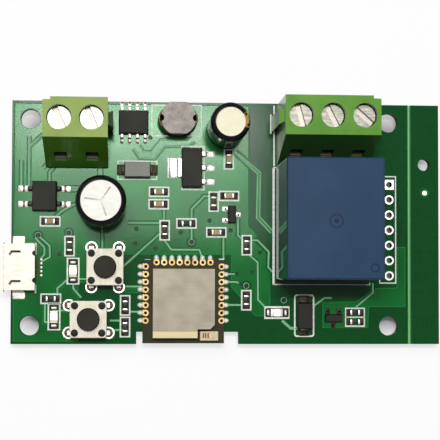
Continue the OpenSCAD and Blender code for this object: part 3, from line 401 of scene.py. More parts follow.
etched("front_pours", front_pours, front_runs, BOARD_TOP, FOIL, [(1.75, mounting_holes), (0.85, ring_vias)])
wide = bench("wide_tracks", [run for run in front_runs if run[0] > 0.5], False)
set_flat(wide, 0.16, BOARD_TOP)
fine = bench("fine_tracks", [run for run in front_runs if run[0] <= 0.5], False, 0)
set_flat(fine, 0.4, BOARD_TOP)
fit(join("front_tracks", [wide, fine]), raised)

# Vias: small plated holes that join the two faces, tented with lacquer.
# Each shows as a low ring with a dimple in its middle that is painted near-black, a painted shade.
VIA_RISE = 0.1
DIMPLE = 0.06
DIMPLE_EDGE = 0.085


def pick_none(piece, kind):
    """Leaves nothing of a piece selected, ready to pick faces or edges."""
    work_on(piece)
    edit_mode()
    bpy.ops.mesh.select_mode(type=kind)
    bpy.ops.mesh.select_all(action="DESELECT")
    object_mode()


def stepped(piece, *steps):
    """Steps the top of a piece inwards, with the inset and the rise of each step."""
    pick_none(piece, "FACE")
    for face in piece.data.polygons:
        face.select = face.normal.z > 0.5
    edit_mode()
    for inset, rise in steps:
        bpy.ops.mesh.inset(thickness=inset * MM)
        bpy.ops.transform.translate(value=(0, 0, rise * MM))
    object_mode()
    return piece


def dimpled_disc(x, y, radius, hole):
    """A low round boss with a dimple, set on the board."""
    inset = (radius - hole) / 2
    piece = drum(x, y, radius, BOARD_TOP, BOARD_TOP + VIA_RISE, 20)
    return stepped(piece, (inset, 0.02), (inset, -DIMPLE))


def tented(collar, edge):
    """Lacquer drawn into a via: tones for its collar and the collar's edge, and a near-black painted shade in
    the dimple.
    """
    def looks(spot):
        # The dimple is painted near-black: painted shade.
        dimple_shade = spot.z < BOARD_TOP + DIMPLE_EDGE
        rim = (spot.flatness() < 0.9) * (1 - dimple_shade)
        ring = rim.mix(collar, edge)
        return {"Base Color": dimple_shade.mix(ring, (5, 12, 7)), "Roughness": 0.25 + 0.1 * spot.noise(4.0)}
    return looks


vias = [dimpled_disc(x, y, 0.36, 0.22) for x, y in via_places]
# On these vias the lighter edge tone is partly thinner lacquer, partly a painted highlight.
tent = finish("tented_lacquer", tented((16, 84, 36), (60, 116, 70)))
fit(join("tented_vias", vias), tent)
vias = [dimpled_disc(x, y, 0.52, 0.3) for x, y in ring_vias]
tent = finish("thin_lacquer", tented((128, 180, 136), (20, 70, 36)))
fit(join("collared_vias", vias), tent)

# Legend: white ink screened over the mask. Boxes mark each part's place; their lines are
# a quarter of a millimetre wide, with the slightly ragged edge of screened ink.
INK_AT = BOARD_TOP + FOIL + 0.012
INK = 0.012
LINE = 0.24
upright_chips = [(2.95, 10.6), (-7.65, -1.25), (0.45, 3.55), (5.95, -3.65), (5.9, -12.75), (-23.25, -3.95),
                 (-14.1, -13.65), (-14.1, -17.2)]
level_chips = [(-26.45, 0.1), (-8.6, 5.1), (-8.65, 3.05), (3.0, 4.5), (0.9, -1.55), (-4.05, -0.1),
               (-26.25, -12.6)]
upright_lights = [(-22.65, -8.05), (-25.7, -15.55)]
ink_boxes = [(x, y, 1.75, 3.4, LINE) for x, y in upright_chips]
ink_boxes += [(x, y, 3.4, 1.75, LINE) for x, y in level_chips]
ink_boxes += [(x, y, 2.1, 4.4, LINE) for x, y in upright_lights]
ink_boxes += [
    (11.0, -14.8, 4.2, 2.1, 0.29), (24.07, -15.55, 3.35, 3.2, LINE),
    (15.55, -15.3, 3.4, 7.05, 0.26, 0.5), (29.6, -0.95, 2.9, 18.0, 0.2),
    (-5.75, 16.95, 8.4, 5.3, 0.2), (-3.0, 9.1, 3.9, 7.4, 0.2), (-12.2, 8.65, 6.6, 3.2, 0.2),
]
ink_bars = [
    (24.07, -15.55, 3.2, 0.2), (10.43, -0.5, 0.38, 19.3), (18.4, -10.15, 16.1, 0.16), (18.4, 9.3, 16.1, 0.2),
    (26.55, -10.0, 0.2, 0.5), (-30.4, -3.6, 2.6, 0.25), (-28.75, -4.4, 0.25, 1.9), (-28.75, -11.0, 0.25, 1.4),
    (10.5, 14.6, 0.25, 10.1), (9.95, 16.55, 0.22, 3.2), (-10.9, -6.6, 0.2, 0.9), (-10.45, -6.15, 0.9, 0.2),
    (1.8, -6.0, 0.9, 0.2),
]


def thicken(depth):
    """Gives the sheet in edit mode its thickness, downwards."""
    take_all()
    bpy.ops.mesh.extrude_region_move(TRANSFORM_OT_translate={"value": (0, 0, -depth * MM)})
    take_all()
    bpy.ops.mesh.normals_make_consistent(inside=False)
    object_mode()


def inked(x, y, width, length, line=0, corner=0):
    """A stroke of ink, or a box: a sheet inset by the width of its line, its middle taken out."""
    bpy.ops.mesh.primitive_plane_add(size=1, location=(0, 0, 0))
    piece = bpy.context.object
    edit_mode()
    size_and_set((width * MM, length * MM, 1), (x, y, INK_AT))
    if corner:
        bpy.ops.mesh.bevel(offset=corner * MM, segments=5, affect="VERTICES")
        take_all()
    if line:
        bpy.ops.mesh.select_mode(type="FACE")
        bpy.ops.mesh.inset(thickness=line * MM)
        bpy.ops.mesh.delete(type="ONLY_FACE")
    thicken(INK)
    return piece


def flat_ring(x, y, radius, hole, base, top):
    """A flat ring between two heights."""
    bpy.ops.mesh.primitive_circle_add(
        vertices=40, radius=radius * MM, fill_type="NGON", location=(x * MM, y * MM, top * MM))
    piece = bpy.context.object
    bpy.ops.object.transform_apply(location=True)
    edit_mode()
    bpy.ops.mesh.select_mode(type="FACE")
    take_all()
    bpy.ops.mesh.inset(thickness=(radius - hole) * MM)
    bpy.ops.mesh.delete(type="ONLY_FACE")
    thicken(top - base)
    return piece


def screened_ink(spot):
    wear = spot.noise(2.4, detail=4.0)
    return {
        "Base Color": wear.between(0.3, 0.6).mix((206, 214, 200), (242, 246, 238)),
        "Roughness": 0.55 + 0.2 * wear,
        "Normal": spot.bump(spot.noise(12.0), 0.004),
    }


legend = join("legend", [inked(*place) for place in ink_boxes + ink_bars])
fit(legend, finish("screened_ink", screened_ink))

# Solder on the front: tinned lands under the leads of the surface parts, rings round the
# switch legs with a dull, flux-stained dome inside, and bare plated rings round the header
# holes. Each land is a low cushion with rounded corners and edges.
PITCH = 1.27
HEADER_PITCH = 2.54
CONVERTER_X, CONVERTER_Y = -12.85, 16.5
RECTIFIER_X, RECTIFIER_Y = -27.35, 4.2
TAB_Y = 9.1
DOME = 0.2
PLATE = 0.06
SHARP = 40
header_holes = [(29.85, 6.6 - HEADER_PITCH * step) for step in range(7)]
aim_spot = 35.9, 5.25
switch_joints = [(-19.65, -10.65), (-19.65, -4.15), (-15.15, -10.65), (-15.15, -4.15),
                 (-16.8, -18.15), (-23.3, -18.15), (-16.8, -13.65), (-23.3, -13.65)]


def bar(low, high):
    """A bar between two corners in mm, to be shaped further."""
    low, high = Vector(low), Vector(high)
    bpy.ops.mesh.primitive_cube_add(size=1, location=(0, 0, 0))
    edit_mode()
    size_and_set((high - low) * MM, (low + high) / 2)
    object_mode()
    return bpy.context.object


def slab(x, y, half_x, half_y, low, high):
    """A bar about a place on the board, by half its sizes and its two heights."""
    return bar((x - half_x, y - half_y, low), (x + half_x, y + half_y, high))


def upright(middle, way):
    """The edges that stand on end."""
    return abs(way.z) > 0.5


def round_edges(piece, wanted, radius, steps):
    """Rounds the edges that are wanted, by the middle and the direction of each."""
    pick_none(piece, "EDGE")
    points = piece.data.vertices
    for edge in piece.data.edges:
        first, last = (points[index].co / MM for index in edge.vertices)
        edge.select = bool(wanted((first + last) / 2, (last - first).normalized()))
    edit_mode()
    bpy.ops.mesh.bevel(offset=radius * MM, segments=steps)
    object_mode()


def even_light(piece, angle=SHARP):
    """Smooth rounded edges beside faces that stay flat."""
    work_on(piece)
    bpy.ops.object.shade_smooth_by_angle(angle=math.radians(angle))
    weight = piece.modifiers.new("weight", "WEIGHTED_NORMAL")
    weight.keep_sharp = True
    bpy.ops.object.modifier_apply(modifier="weight")


def land(x, y, width, length, height=0.12, corner=0.15):
    """A low solder cushion on its copper land."""
    piece = slab(x, y, width / 2, length / 2, BOARD_TOP, BOARD_TOP + height)
    round_edges(piece, upright, corner, 3)
    stepped(piece, (0.1, 0.05))
    bpy.ops.object.shade_smooth_by_angle(angle=math.radians(50))
    return piece


def solder_mound(x, y, reach, width, height):
    """A dome of solder that climbs from its land to a lead or a wall."""
    bpy.ops.mesh.primitive_uv_sphere_add(segments=14, ring_count=8, radius=1, location=(0, 0, 0))
    piece = bpy.context.object
    edit_mode()
    take_all()
    size_and_set((reach * MM, width * MM, height * MM), (x, y, BOARD_TOP))
    bpy.ops.mesh.bisect(
        plane_co=(0, 0, BOARD_TOP * MM), plane_no=(0, 0, 1), clear_inner=True, use_fill=True)
    object_mode()
    bpy.ops.object.shade_smooth_by_angle(angle=math.radians(60))
    return piece


def fresh_solder(spot):
    skin = spot.noise(2.2, detail=3.0)
    bright = skin.mottle((184, 184, 176), (222, 222, 214), 0.2)
    # Steep faces are painted darker, a painted shade for the dark surroundings they reflect; less dark on the
    # back of the board.
    steep_shade = (spot.z < 0).mix((92, 86, 76), (168, 166, 158))
    # Brown bands across the converter's, the rectifier's and the regulator tab's lands are painted dark
    # reflections of the fillets' steep sides.
    across = spot.x
    step = (across - CONVERTER_X) * (1 / PITCH)
    feet = (abs(step.fraction() - 0.5) < 0.17) * spot.inside(CONVERTER_X, CONVERTER_Y, 2.6, 4.0)
    toes = (abs(abs(across - RECTIFIER_X) - 3.4) < 0.2) * spot.inside(RECTIFIER_X, RECTIFIER_Y, 4.5, 2.2)
    tab = (abs(abs(across + 6.4) - 0.45) < 0.1) * spot.inside(-6.4, TAB_Y, 1.0, 1.6)
    plain = spot.flatness().between(0.25, 0.8).mix(steep_shade, bright)
    return {
        "Base Color": (feet | toes | tab).mix(plain, (84, 68, 50)),
        "Metallic": 0.6 + 0.2 * skin,
        "Roughness": 0.22 + 0.2 * skin,
        "Normal": spot.bump(spot.noise(5.0), 0.015),
    }


def flux_stained(dark, light, domed=None):
    """Solder under a crust of flux, which is thinner on a dome than on a flat land."""
    def looks(spot):
        stain = spot.noise(2.6, detail=3.0)
        crust = stain.mottle(dark, light)
        if domed:
            crust = (spot.z > BOARD_TOP + DOME).mix(crust, stain.mottle(*domed))
        return {
            "Base Color": crust,
            "Metallic": 0.3 + 0.2 * stain,
            "Roughness": 0.35 + 0.25 * stain,
            "Normal": spot.bump(stain, 0.03),
        }
    return looks


solder = finish("fresh_solder", fresh_solder)
crusted = flux_stained((18, 14, 10), (70, 60, 48), [(84, 70, 54), (150, 134, 112)])
stained = finish("stained_solder", crusted)
lands = []
for step in (-1.5, -0.5, 0.5, 1.5):
    for side in (-2.8, 2.8):
        lands.append(land(CONVERTER_X + step * PITCH, CONVERTER_Y + side, 0.62, 1.3))
for side in (-3.45, 3.45):
    for level in (-PITCH, PITCH):
        lands.append(land(RECTIFIER_X + side, RECTIFIER_Y + level, 1.7, 1.0))
lands.append(land(-6.3, TAB_Y, 1.9, 3.4))
lands += [land(-0.2, TAB_Y + step, 1.7, 1.0) for step in (2.3, 0.0, -2.3)]
lands += [land(x, y, 1.0, 0.8) for x, y in ((2.35, 2.35), (2.35, 0.45), (4.55, 1.4))]
lands += [land(x, y, 2.0, 1.2, PLATE) for x, y in ((-31.5, -2.95), (-31.45, -12.05))]
lands += [land(-27.85, -7.45 + step * 0.65, 0.42, 0.36, 0.1, 0.12) for step in (-2, -1, 0, 1, 2)]
fit(join("lead_lands", lands), solder)
rings = [flat_ring(x, y, 0.76, 0.5, BOARD_TOP, BOARD_TOP + PLATE) for x, y in header_holes[1:]]
rings += [flat_ring(x, y, 0.98, 0.76, BOARD_TOP, BOARD_TOP + 0.07) for x, y in switch_joints]
first_hole = slab(*header_holes[0], 0.82, 0.82, BOARD_TOP, BOARD_TOP + PLATE)
cut_away(first_hole, drum(*header_holes[0], 0.5, BOARD_TOP - THROUGH, BOARD_TOP + THROUGH))
aim_mark = drum(*aim_spot, 0.42, BOARD_TOP, BOARD_TOP + 0.03)
round_edges(aim_mark, lambda middle, way: middle.z > BOARD_TOP + 0.02, 0.015, 2)
fit(join("ring_lands", rings + [first_hole, aim_mark]), solder)
fit(flat_ring(*aim_spot, 0.8, 0.45, BOARD_TOP, BOARD_TOP + 0.02), raised)
stains = [solder_mound(x, y, 0.76, 0.76, 0.4) for x, y in switch_joints]
stains += [land(x, 8.65, 1.6, 1.8) for x in (-14.75, -9.65)]
stains += [land(15.5, y, 1.8, 1.6) for y in (-12.75, -17.85)]
stains += [land(x, y, 0.8, 1.0) for x, y in ((19.45, -14.6), (21.35, -14.6), (20.4, -16.8))]
fit(join("stained_joints", stains), stained)

# Back of the board: a ground pour under the logic side, wide copper from the relay to the
# load terminal, and lacquer over both. Every through lead ends in a cone of solder on a
# bare plated ring.
relay_joints = [(18.45, -7.05), (12.45, -5.05), (24.45, -5.05), (12.45, 7.15), (24.45, 7.15)]
terminal_joints = [(-24.59, 12.0), (-19.51, 12.0), (13.47, 12.8), (18.55, 12.8), (23.63, 12.8)]
capacitor_joints = [(-19.75, 2.8), (-16.25, 2.8), (1.15, 15.5), (3.65, 15.5)]
back_pours = [
    [(-32.4, 19.6), (8.4, 19.6), (8.4, -19.6), (5.05, -19.6), (5.05, -17.6), (-12.65, -17.6), (-12.65, -19.6),
     (-32.4, -19.6)],
    [(10.6, 5.4), (10.6, 15.0), (15.6, 15.0), (15.6, 9.6), (14.4, 8.6), (14.4, 5.4)],
    [(26.4, 5.4), (26.4, 15.0), (21.5, 15.0), (21.5, 9.6), (22.5, 8.6), (22.5, 5.4)],
    [(16.4, -9.2), (20.6, -9.2), (20.6, 15.0), (16.5, 15.0)],
]
back_runs = [
    (0.5, [(24.45, -5.05), (24.45, -11.6), (21.4, -14.6)]),
    (0.5, [(12.45, -5.05), (12.45, -11.4), (15.4, -14.2), (15.4, -17.4)]),
    (0.3, [(29.85, 6.6), (28.0, 4.7), (28.0, -12.4), (24.6, -15.8)]),
    (0.3, [(29.85, 4.06), (28.6, 2.8), (28.6, -13.0), (25.4, -16.2)]),
    (0.3, [(-15.15, -4.15), (-9.2, 1.8), (-9.2, 8.0)]),
    (0.3, [(-19.65, -10.65), (-24.0, -6.3), (-24.0, -2.3)]),
    (0.3, [(-16.8, -13.65), (-13.2, -13.65), (-8.4, -8.85), (4.8, -8.85)]),
    (0.3, [(-23.3, -18.15), (-27.0, -14.45), (-27.0, -7.4)]),
    (0.7, [(-24.59, 12.0), (-28.6, 8.0), (-28.6, 5.5)]),
    (0.7, [(-16.25, 2.8), (-12.4, 6.65), (-12.4, 14.0)]),
    (0.5, [(3.65, 15.5), (5.9, 13.25), (5.9, -3.2)]),
]
etched("back_pours", back_pours, back_runs, 0, -FOIL, [
    (2.6, mounting_holes[::2]), (1.75, terminal_joints[:1] + capacitor_joints[1::2]),
    (1.45, switch_joints[::2])])
back_tracks = bench("back_tracks", back_runs, False)
set_flat(back_tracks, 0.2, 0)
fit(back_tracks, raised)
back_rings = [flat_ring(x, y, 1.45, 0.9, -0.07, 0.0) for x, y in relay_joints + terminal_joints]
back_rings += [flat_ring(x, y, 1.15, 0.7, -0.07, 0.0) for x, y in switch_joints + capacitor_joints]
back_rings += [flat_ring(x, y, 0.85, 0.5, -0.07, 0.0) for x, y in header_holes]
fit(join("back_rings", back_rings), solder)
dress("solder_joints", solder)

# Radio module: a small dark board with half-round plated holes on three sides, soldered
# flat to the main board. A pressed tin can covers its chips and a ceramic aerial sits in
# the corner that the can leaves free.


def box_of(node):
    """The two corners of a frame part's box in mm."""
    return [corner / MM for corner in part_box(node)]


def copied(node):
    """A merged copy of a frame part, to be shaped further."""
    piece = placed(node + "_formed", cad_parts[node].data.copy())
    work_on(piece)
    edit_mode()
    take_all()
    bpy.ops.mesh.remove_doubles(threshold=0.001 * MM)
    bpy.ops.mesh.dissolve_limited(angle_limit=math.radians(0.5))
    object_mode()
    return piece


def form(node, width, material, steps=2, body="board"):
    """Puts a copy with its edges broken, as moulding leaves them, in the place of a frame part."""
    piece = copied(node)
    edge = piece.modifiers.new("edge", "BEVEL")
    edge.width, edge.segments = width * MM, steps
    edge.limit_method, edge.angle_limit = "ANGLE", math.radians(SHARP)
    bpy.ops.object.modifier_apply(modifier="edge")
    even_light(piece)
    fit(piece, material, body, node)


POLISHED = 0.14


def plain_metal(dark, light, roughness, stretch=(1.0, 1.0, 1.0), scale=3.0, depth=0.004, shade=None,
                metal=0.65):
    """Plated or rolled metal: two close tones, an uneven polish, fine scratches and, if shade is given, a
    painted shade on steep faces.
    """
    def looks(spot):
        tone = spot.noise(0.6, stretch)
        scratch = spot.noise(scale, stretch, 4.0)
        skin = (0.5 * tone + 0.5 * scratch).mottle(dark, light)
        if shade:
            # Steep faces take the shade tone: painted shade for the dark surroundings they reflect.
            skin = spot.flatness().between(0.3, 0.85).mix(shade, skin)
        return {
            "Base Color": skin,
            "Metallic": metal + 0.2 * tone,
            "Roughness": roughness + 0.18 * scratch,
            "Normal": spot.bump(scratch, depth),
        }
    return looks


def moulded(dark, light, roughness, scale=2.0, depth=0.006, wall=None):
    """Moulded plastic: a drift of tone, the tool's fine texture and, if given, polished walls painted in a
    shade tone.
    """
    def looks(spot):
        drift = spot.noise(0.25)
        texture = spot.noise(scale * 4, detail=3.0)
        tone = (0.7 * drift + 0.3 * texture).mottle(dark, light)
        polish = roughness + 0.16 * texture
        if wall is not None:
            # Walls take the wall tone, a painted shade; only their lower roughness is the polish.
            flat = spot.flatness() > 0.8
            tone = flat.mix(wall, tone)
            polish = POLISHED + flat * (polish - POLISHED)
        return {"Base Color": tone, "Roughness": polish, "Normal": spot.bump(texture, depth)}
    return looks


dress("module_board", finish("module_lacquer", moulded((32, 32, 12), (50, 46, 18), 0.4)))
gold = finish("gold_flash", plain_metal((142, 114, 70), (206, 176, 118), 0.3, metal=0.3))
dress("module_castellations", gold)
dress("module_chips", finish("module_chip_epoxy", moulded((34, 33, 30), (48, 47, 42), 0.5)))


def pressed_can(spot):
    roll = spot.noise(1.5, (0.2, 3.0, 1.0), 3.0)
    stain = spot.noise(0.35)
    # A darker band along the bend at the can's front edge is painted shade.
    fold_shade = 1 - abs(spot.y + 17.8).between(0.0, 0.14)
    skin = stain.mottle((140, 133, 117), (158, 150, 133), 0.2)
    edge = (spot.flatness() < 0.95) | (spot.y < -17.85)
    skin = edge.mix(skin, (190, 178, 142))
    return {
        "Base Color": (0.6 * fold_shade).mix(skin, (132, 122, 98)),
        "Metallic": 0.3 + 0.1 * roll,
        "Roughness": 0.46 + 0.16 * roll,
        "Normal": spot.bump(roll, 0.008),
    }


form("module_shield_can", 0.25, finish("pressed_can", pressed_can), 3)


def fired_ceramic(spot):
    glaze = spot.noise(2.0)
    patch = spot.inside(-0.975, -18.575, 0.575, 0.425)
    strokes = patch * (((spot.x + 1.55) * 2.6).fraction() > 0.4)
    body = glaze.mottle((206, 190, 150), (226, 214, 178), 0.2)
    return {"Base Color": strokes.mix(body, (140, 70, 44)), "Roughness": 0.35 + 0.15 * glaze}


form("module_antenna", 0.1, finish("fired_ceramic", fired_ceramic))
module_low, module_high = box_of("module_board")
mounds, module_rings, ring_holes = [], [], []
for step in range(8):
    down, right = -7.25 - step * PITCH, -8.995 + step * PITCH
    mounds += [solder_mound(x, down, 0.55, 0.42, 0.62) for x in (module_low.x - 0.32, module_high.x + 0.32)]
    mounds.append(solder_mound(right, module_high.y + 0.27, 0.42, 0.55, 0.62))
    for x, y in ((module_low.x + 0.5, down), (module_high.x - 0.42, down), (right, module_high.y - 0.42)):
        module_rings.append(flat_ring(x, y, 0.5, 0.27, module_high.z, module_high.z + 0.05))
        hole = drum(x, y, 0.27, module_high.z, module_high.z + 0.03, 20)
        ring_holes.append(stepped(hole, (0.08, -0.02)))
# The module's solder mounds are near-white and barely metallic: a painted sheen.
sheen_solder = finish("solder_painted_sheen", plain_metal((234, 234, 228), (252, 252, 248), 0.35, metal=0.0))
fit(join("module_solder", mounds), sheen_solder)
fit(join("module_rings", module_rings), gold)
# The dipped discs in the rings stand for the holes and are painted near-black, as painted shade.
hole_shade = finish("hole_painted_shade", moulded((12, 10, 6), (26, 20, 12), 0.6))
fit(join("module_holes", ring_holes), hole_shade)

# Small packages: the converter, rectifier, regulator and transistors are black epoxy
# moulded round tinned copper leads; the diodes are the same with wrapped end leads.
epoxy = finish("package_epoxy", moulded((30, 30, 25), (44, 43, 36), 0.45, 4.0, 0.012))
for node in ("buck_converter", "bridge_rectifier", "voltage_regulator", "transistors"):
    form(node, 0.08, epoxy)


def diode_epoxy(spot):
    texture = spot.noise(8.0, detail=3.0)
    grey = texture.mottle((124, 124, 117), (148, 148, 140), 0.2)
    black = texture.mottle((24, 23, 18), (36, 35, 28), 0.2)
    return {
        "Base Color": (spot.x > 0).mix(grey, black),
        "Roughness": 0.42 + 0.16 * texture,
        "Normal": spot.bump(texture, 0.012),
    }


form("diodes", 0.08, finish("diode_epoxy", diode_epoxy))
tin = finish("tinned_lead", plain_metal((186, 184, 176), (226, 224, 216), 0.24, shade=(90, 82, 70)))
# Leads of the two diodes, one transistor and the rectifier are painted dark brown: a painted dark reflection.
leads_painted_dark = [(-12.2, 8.65, 2.6, 1.5), (15.5, -15.3, 1.5, 2.6), (20.4, -15.7, 1.7, 1.9),
              (RECTIFIER_X, RECTIFIER_Y, 2.8, 2.2)]


def tinted(looks, mask, tone):
    """The same looks, in another tone where the mask is 1."""
    return {**looks, "Base Color": mask.mix(looks["Base Color"], tone)}


def lead_frame(spot):
    plated = plain_metal((186, 184, 176), (224, 222, 214), 0.26, shade=(78, 70, 58))(spot)
    for box in leads_painted_dark:
        plated = tinted(plated, spot.inside(*box), (40, 34, 28))
    return plated


form("package_leads", 0.04, finish("lead_frame", lead_frame))

# Chip parts: tan ceramic capacitors and dark glazed resistors with plated end caps, and
# three indicator lamps of clear resin. Each end sits in a dark, flux-stained solder fillet,
# and the lamps' ends are bright with solder.
ceramic = finish("chip_ceramic", moulded((168, 132, 98), (198, 164, 128), 0.4))
form("chip_capacitors", 0.05, ceramic)
glaze = finish("chip_glaze", moulded((26, 22, 18), (66, 56, 44), 0.3))
form("chip_resistors", 0.04, glaze)
form("chip_terminations", 0.05, tin)


def lamp_resin(spot):
    cloud = spot.noise(1.6)
    resin = cloud.mottle((232, 222, 196), (250, 245, 230), 0.2)
    return {"Base Color": resin, "Metallic": 0.35, "Roughness": 0.25 + 0.2 * cloud}


form("status_leds", 0.06, finish("lamp_resin", lamp_resin, **{"Subsurface Weight": 0.2}))
fillets, lamp_ends = [], []
level_parts = level_chips + [(24.05, -14.75), (24.05, -16.3)]
for end in (-1, 1):
    fillets += [land(x, y + 1.12 * end, 1.15, 0.7, 0.1) for x, y in upright_chips]
    fillets += [land(x + 1.12 * end, y, 0.7, 1.15, 0.1) for x, y in level_parts]
    fillets += [land(x, y + 1.55 * end, 1.4, 0.9, 0.1) for x, y in upright_lights]
    fillets.append(land(11.0 + 1.5 * end, -14.8, 0.9, 1.4, 0.1))
    lamp_ends += [land(x, y + 1.45 * end, 0.9, 0.36, 0.2, 0.1) for x, y in upright_lights]
    lamp_ends.append(land(11.0 + 1.45 * end, -14.8, 0.36, 0.9, 0.2, 0.1))
fit(join("lamp_ends", lamp_ends), solder)
burnt = finish("burnt_flux", flux_stained((16, 12, 8), (62, 52, 40)))
fit(join("chip_fillets", fillets), burnt)

# Choke: a drum of pressed grey ferrite with wire notches at both sides, wound with
# enamelled copper whose turns show between its flanges.


def pressed_ferrite(spot):
    grit = spot.noise(5.0, detail=4.0)
    cloud = spot.noise(0.7)
    crown = (spot.z > 6.02) * (spot.flatness() > 0.9)
    side = grit.mottle((30, 27, 24), (52, 47, 42), 0.2)
    face = (0.6 * cloud + 0.4 * grit).mottle((142, 136, 130), (192, 182, 175))
    rim = (spot.flatness() > 0.25) * (spot.z > 5.9) * (1 - crown)
    return {
        "Base Color": rim.mix(crown.mix(side, face), (48, 44, 40)),
        "Roughness": 0.55 + 0.25 * grit,
        "Normal": spot.bump(grit, 0.02),
    }


form("inductor_core", 0.12, finish("pressed_ferrite", pressed_ferrite))


def wound(name, node, wire):
    """Turns of round wire stacked in the place of a winding, which they replace."""
    low, high = box_of(node)
    middle, half = (low + high) / 2, (high - low) / 2
    bpy.ops.mesh.primitive_circle_add(vertices=56, radius=MM, location=(0, 0, 0))
    piece = bpy.context.object
    edit_mode()
    take_all()
    size_and_set((half.x - wire / 2, half.y - wire / 2, 1), (middle.x, middle.y, low.z + wire / 2))
    object_mode()
    bpy.ops.object.convert(target="CURVE")
    piece.data.dimensions = "3D"
    piece.data.bevel_depth, piece.data.bevel_resolution = 0.49 * wire * MM, 2
    bpy.ops.object.convert(target="MESH")
    stack = piece.modifiers.new("stack", "ARRAY")
    stack.count = int((high.z - low.z) / wire)
    stack.use_relative_offset, stack.use_constant_offset = False, True
    stack.constant_offset_displace = (0, 0, wire * MM)
    bpy.ops.object.modifier_apply(modifier="stack")
    bpy.ops.object.shade_smooth()
    piece.name = name
    fit(piece, copper, stands_for=node)


def drawn_copper(spot):
    drawn = spot.noise(2.0, (1.0, 1.0, 6.0))
    return {
        "Base Color": drawn.mottle((66, 46, 30), (140, 102, 68), 0.2),
        "Metallic": 0.6 + 0.2 * drawn,
        "Roughness": 0.3 + 0.2 * drawn,
    }


copper = finish("enamelled_copper", drawn_copper)
wound("choke_turns", "inductor_winding", 0.3)

# Electrolytic capacitors: drawn aluminium cans in a shrunk black sleeve, with a scored vent
# on the big one's top and a gold stripe down the small one's sleeve, closed below by a
# rubber bung that holds the two leads.


def can_aluminium(spot):
    drawn = plain_metal((182, 181, 174), (194, 193, 185), 0.46, (1.0, 4.0, 1.0), metal=0.35)(spot)
    small = spot.x > -8
    return tinted(drawn, small, (186, 183, 160))


can_metal = finish("can_aluminium", can_aluminium)


def shrunk_sleeve(spot):
    wrinkle = spot.noise(0.8, (1.0, 1.0, 0.4))
    stripe = (spot.x > 4.3) * (abs(spot.y - 15.85) < 1.25)
    black = wrinkle.mottle((4, 4, 3), (10, 10, 8), 0.2)
    return {
        "Base Color": (stripe * spot.noise(1.4).between(0.38, 0.5)).mix(black, (182, 146, 88)),
        "Roughness": 0.1 + 0.08 * wrinkle,
        "Normal": spot.bump(wrinkle, 0.02),
    }


SLEEVE_FILM = 0.12
SLEEVE_SHOULDER = 0.8
CAN_SHOULDER = SLEEVE_SHOULDER - SLEEVE_FILM
VENT_REACH = 2.6
vent_middle = -18.0, 2.8


def shouldered(node, corners):
    """A capacitor's shell with its upper corners drawn round: the depth of each and its radius."""
    low, high = box_of(node)
    middle, reach = (low + high) / 2, (high.x - low.x) / 2
    piece = copied(node)
    for drop, radius in corners:
        def rim(spot, way):
            out = math.hypot(spot.x - middle.x, spot.y - middle.y)
            return abs(spot.z - (high.z - drop)) < 0.01 and abs(out - (reach - drop)) < 0.03
        round_edges(piece, rim, radius, 6)
    even_light(piece)
    return piece


sleeve = finish("shrunk_sleeve", shrunk_sleeve, 0.1)
vented = shouldered("input_capacitor_can", [(0.0, CAN_SHOULDER)])
vent_top = box_of("input_capacitor_can")[1].z
scores = []
for direction in (math.radians(turn) for turn in (55, 172, 290)):
    x, y = vent_middle
    end = x + VENT_REACH * math.cos(direction), y + VENT_REACH * math.sin(direction)
    scores.append((0.28, [vent_middle, end]))
vent = bench("vent_score", scores, False)
set_flat(vent, 0.6, vent_top)
cut_away(vented, vent)
even_light(vented)
fit(vented, can_metal, stands_for="input_capacitor_can")
plain_can = shouldered("output_capacitor_can", [(0.0, CAN_SHOULDER)])
fit(plain_can, can_metal, stands_for="output_capacitor_can")
for node in ("input_capacitor_sleeve", "output_capacitor_sleeve"):
    shell = shouldered(node, [(0.0, SLEEVE_SHOULDER), (SLEEVE_FILM, CAN_SHOULDER)])
    fit(shell, sleeve, stands_for=node)
dress("capacitor_bungs", finish("bung_rubber", moulded((24, 24, 24), (40, 40, 38), 0.7)))
dress("capacitor_leads", tin)
dress("capacitor_elements", finish("wound_foil", moulded((160, 152, 136), (190, 182, 164), 0.6)))

# USB socket: a folded and plated steel shell round a black tongue with five contacts.
# Two spring claws are stamped into its roof and its rear edge has two round notches.
steel = finish("usb_steel", plain_metal((194, 190, 178), (208, 204, 192), 0.42, (1.0, 3.0, 1.0), metal=0.3))
shell = copied("usb_shell")
roof = box_of("usb_shell")[1].z
claws = bench("claw_slots", [
    (0.4, [(-32.6, -4.95), (-31.0, -4.95)]), (0.4, [(-32.5, -5.0), (-32.8, -5.5)]),
    (0.4, [(-32.6, -9.75), (-31.0, -9.75)]), (0.4, [(-32.5, -9.8), (-32.8, -10.3)])], False)
set_flat(claws, 3.0, roof - 0.2)
notches = [drum(-28.75, y, 0.42, roof - 1.0, roof + 0.5) for y in (-5.2, -9.6)]
cut_away(shell, join("shell_cuts", [claws] + notches))
even_light(shell, 30)
fit(shell, steel, stands_for="usb_shell")
black = finish("black_plastic", moulded((20, 20, 17), (36, 35, 30), 0.45, 3.0, 0.01))
dress("usb_insulator", black)
# The contacts are given a dark brown tone.
dress("usb_contacts", finish("dark_brown_gold", plain_metal((34, 28, 18), (74, 60, 38), 0.4)))

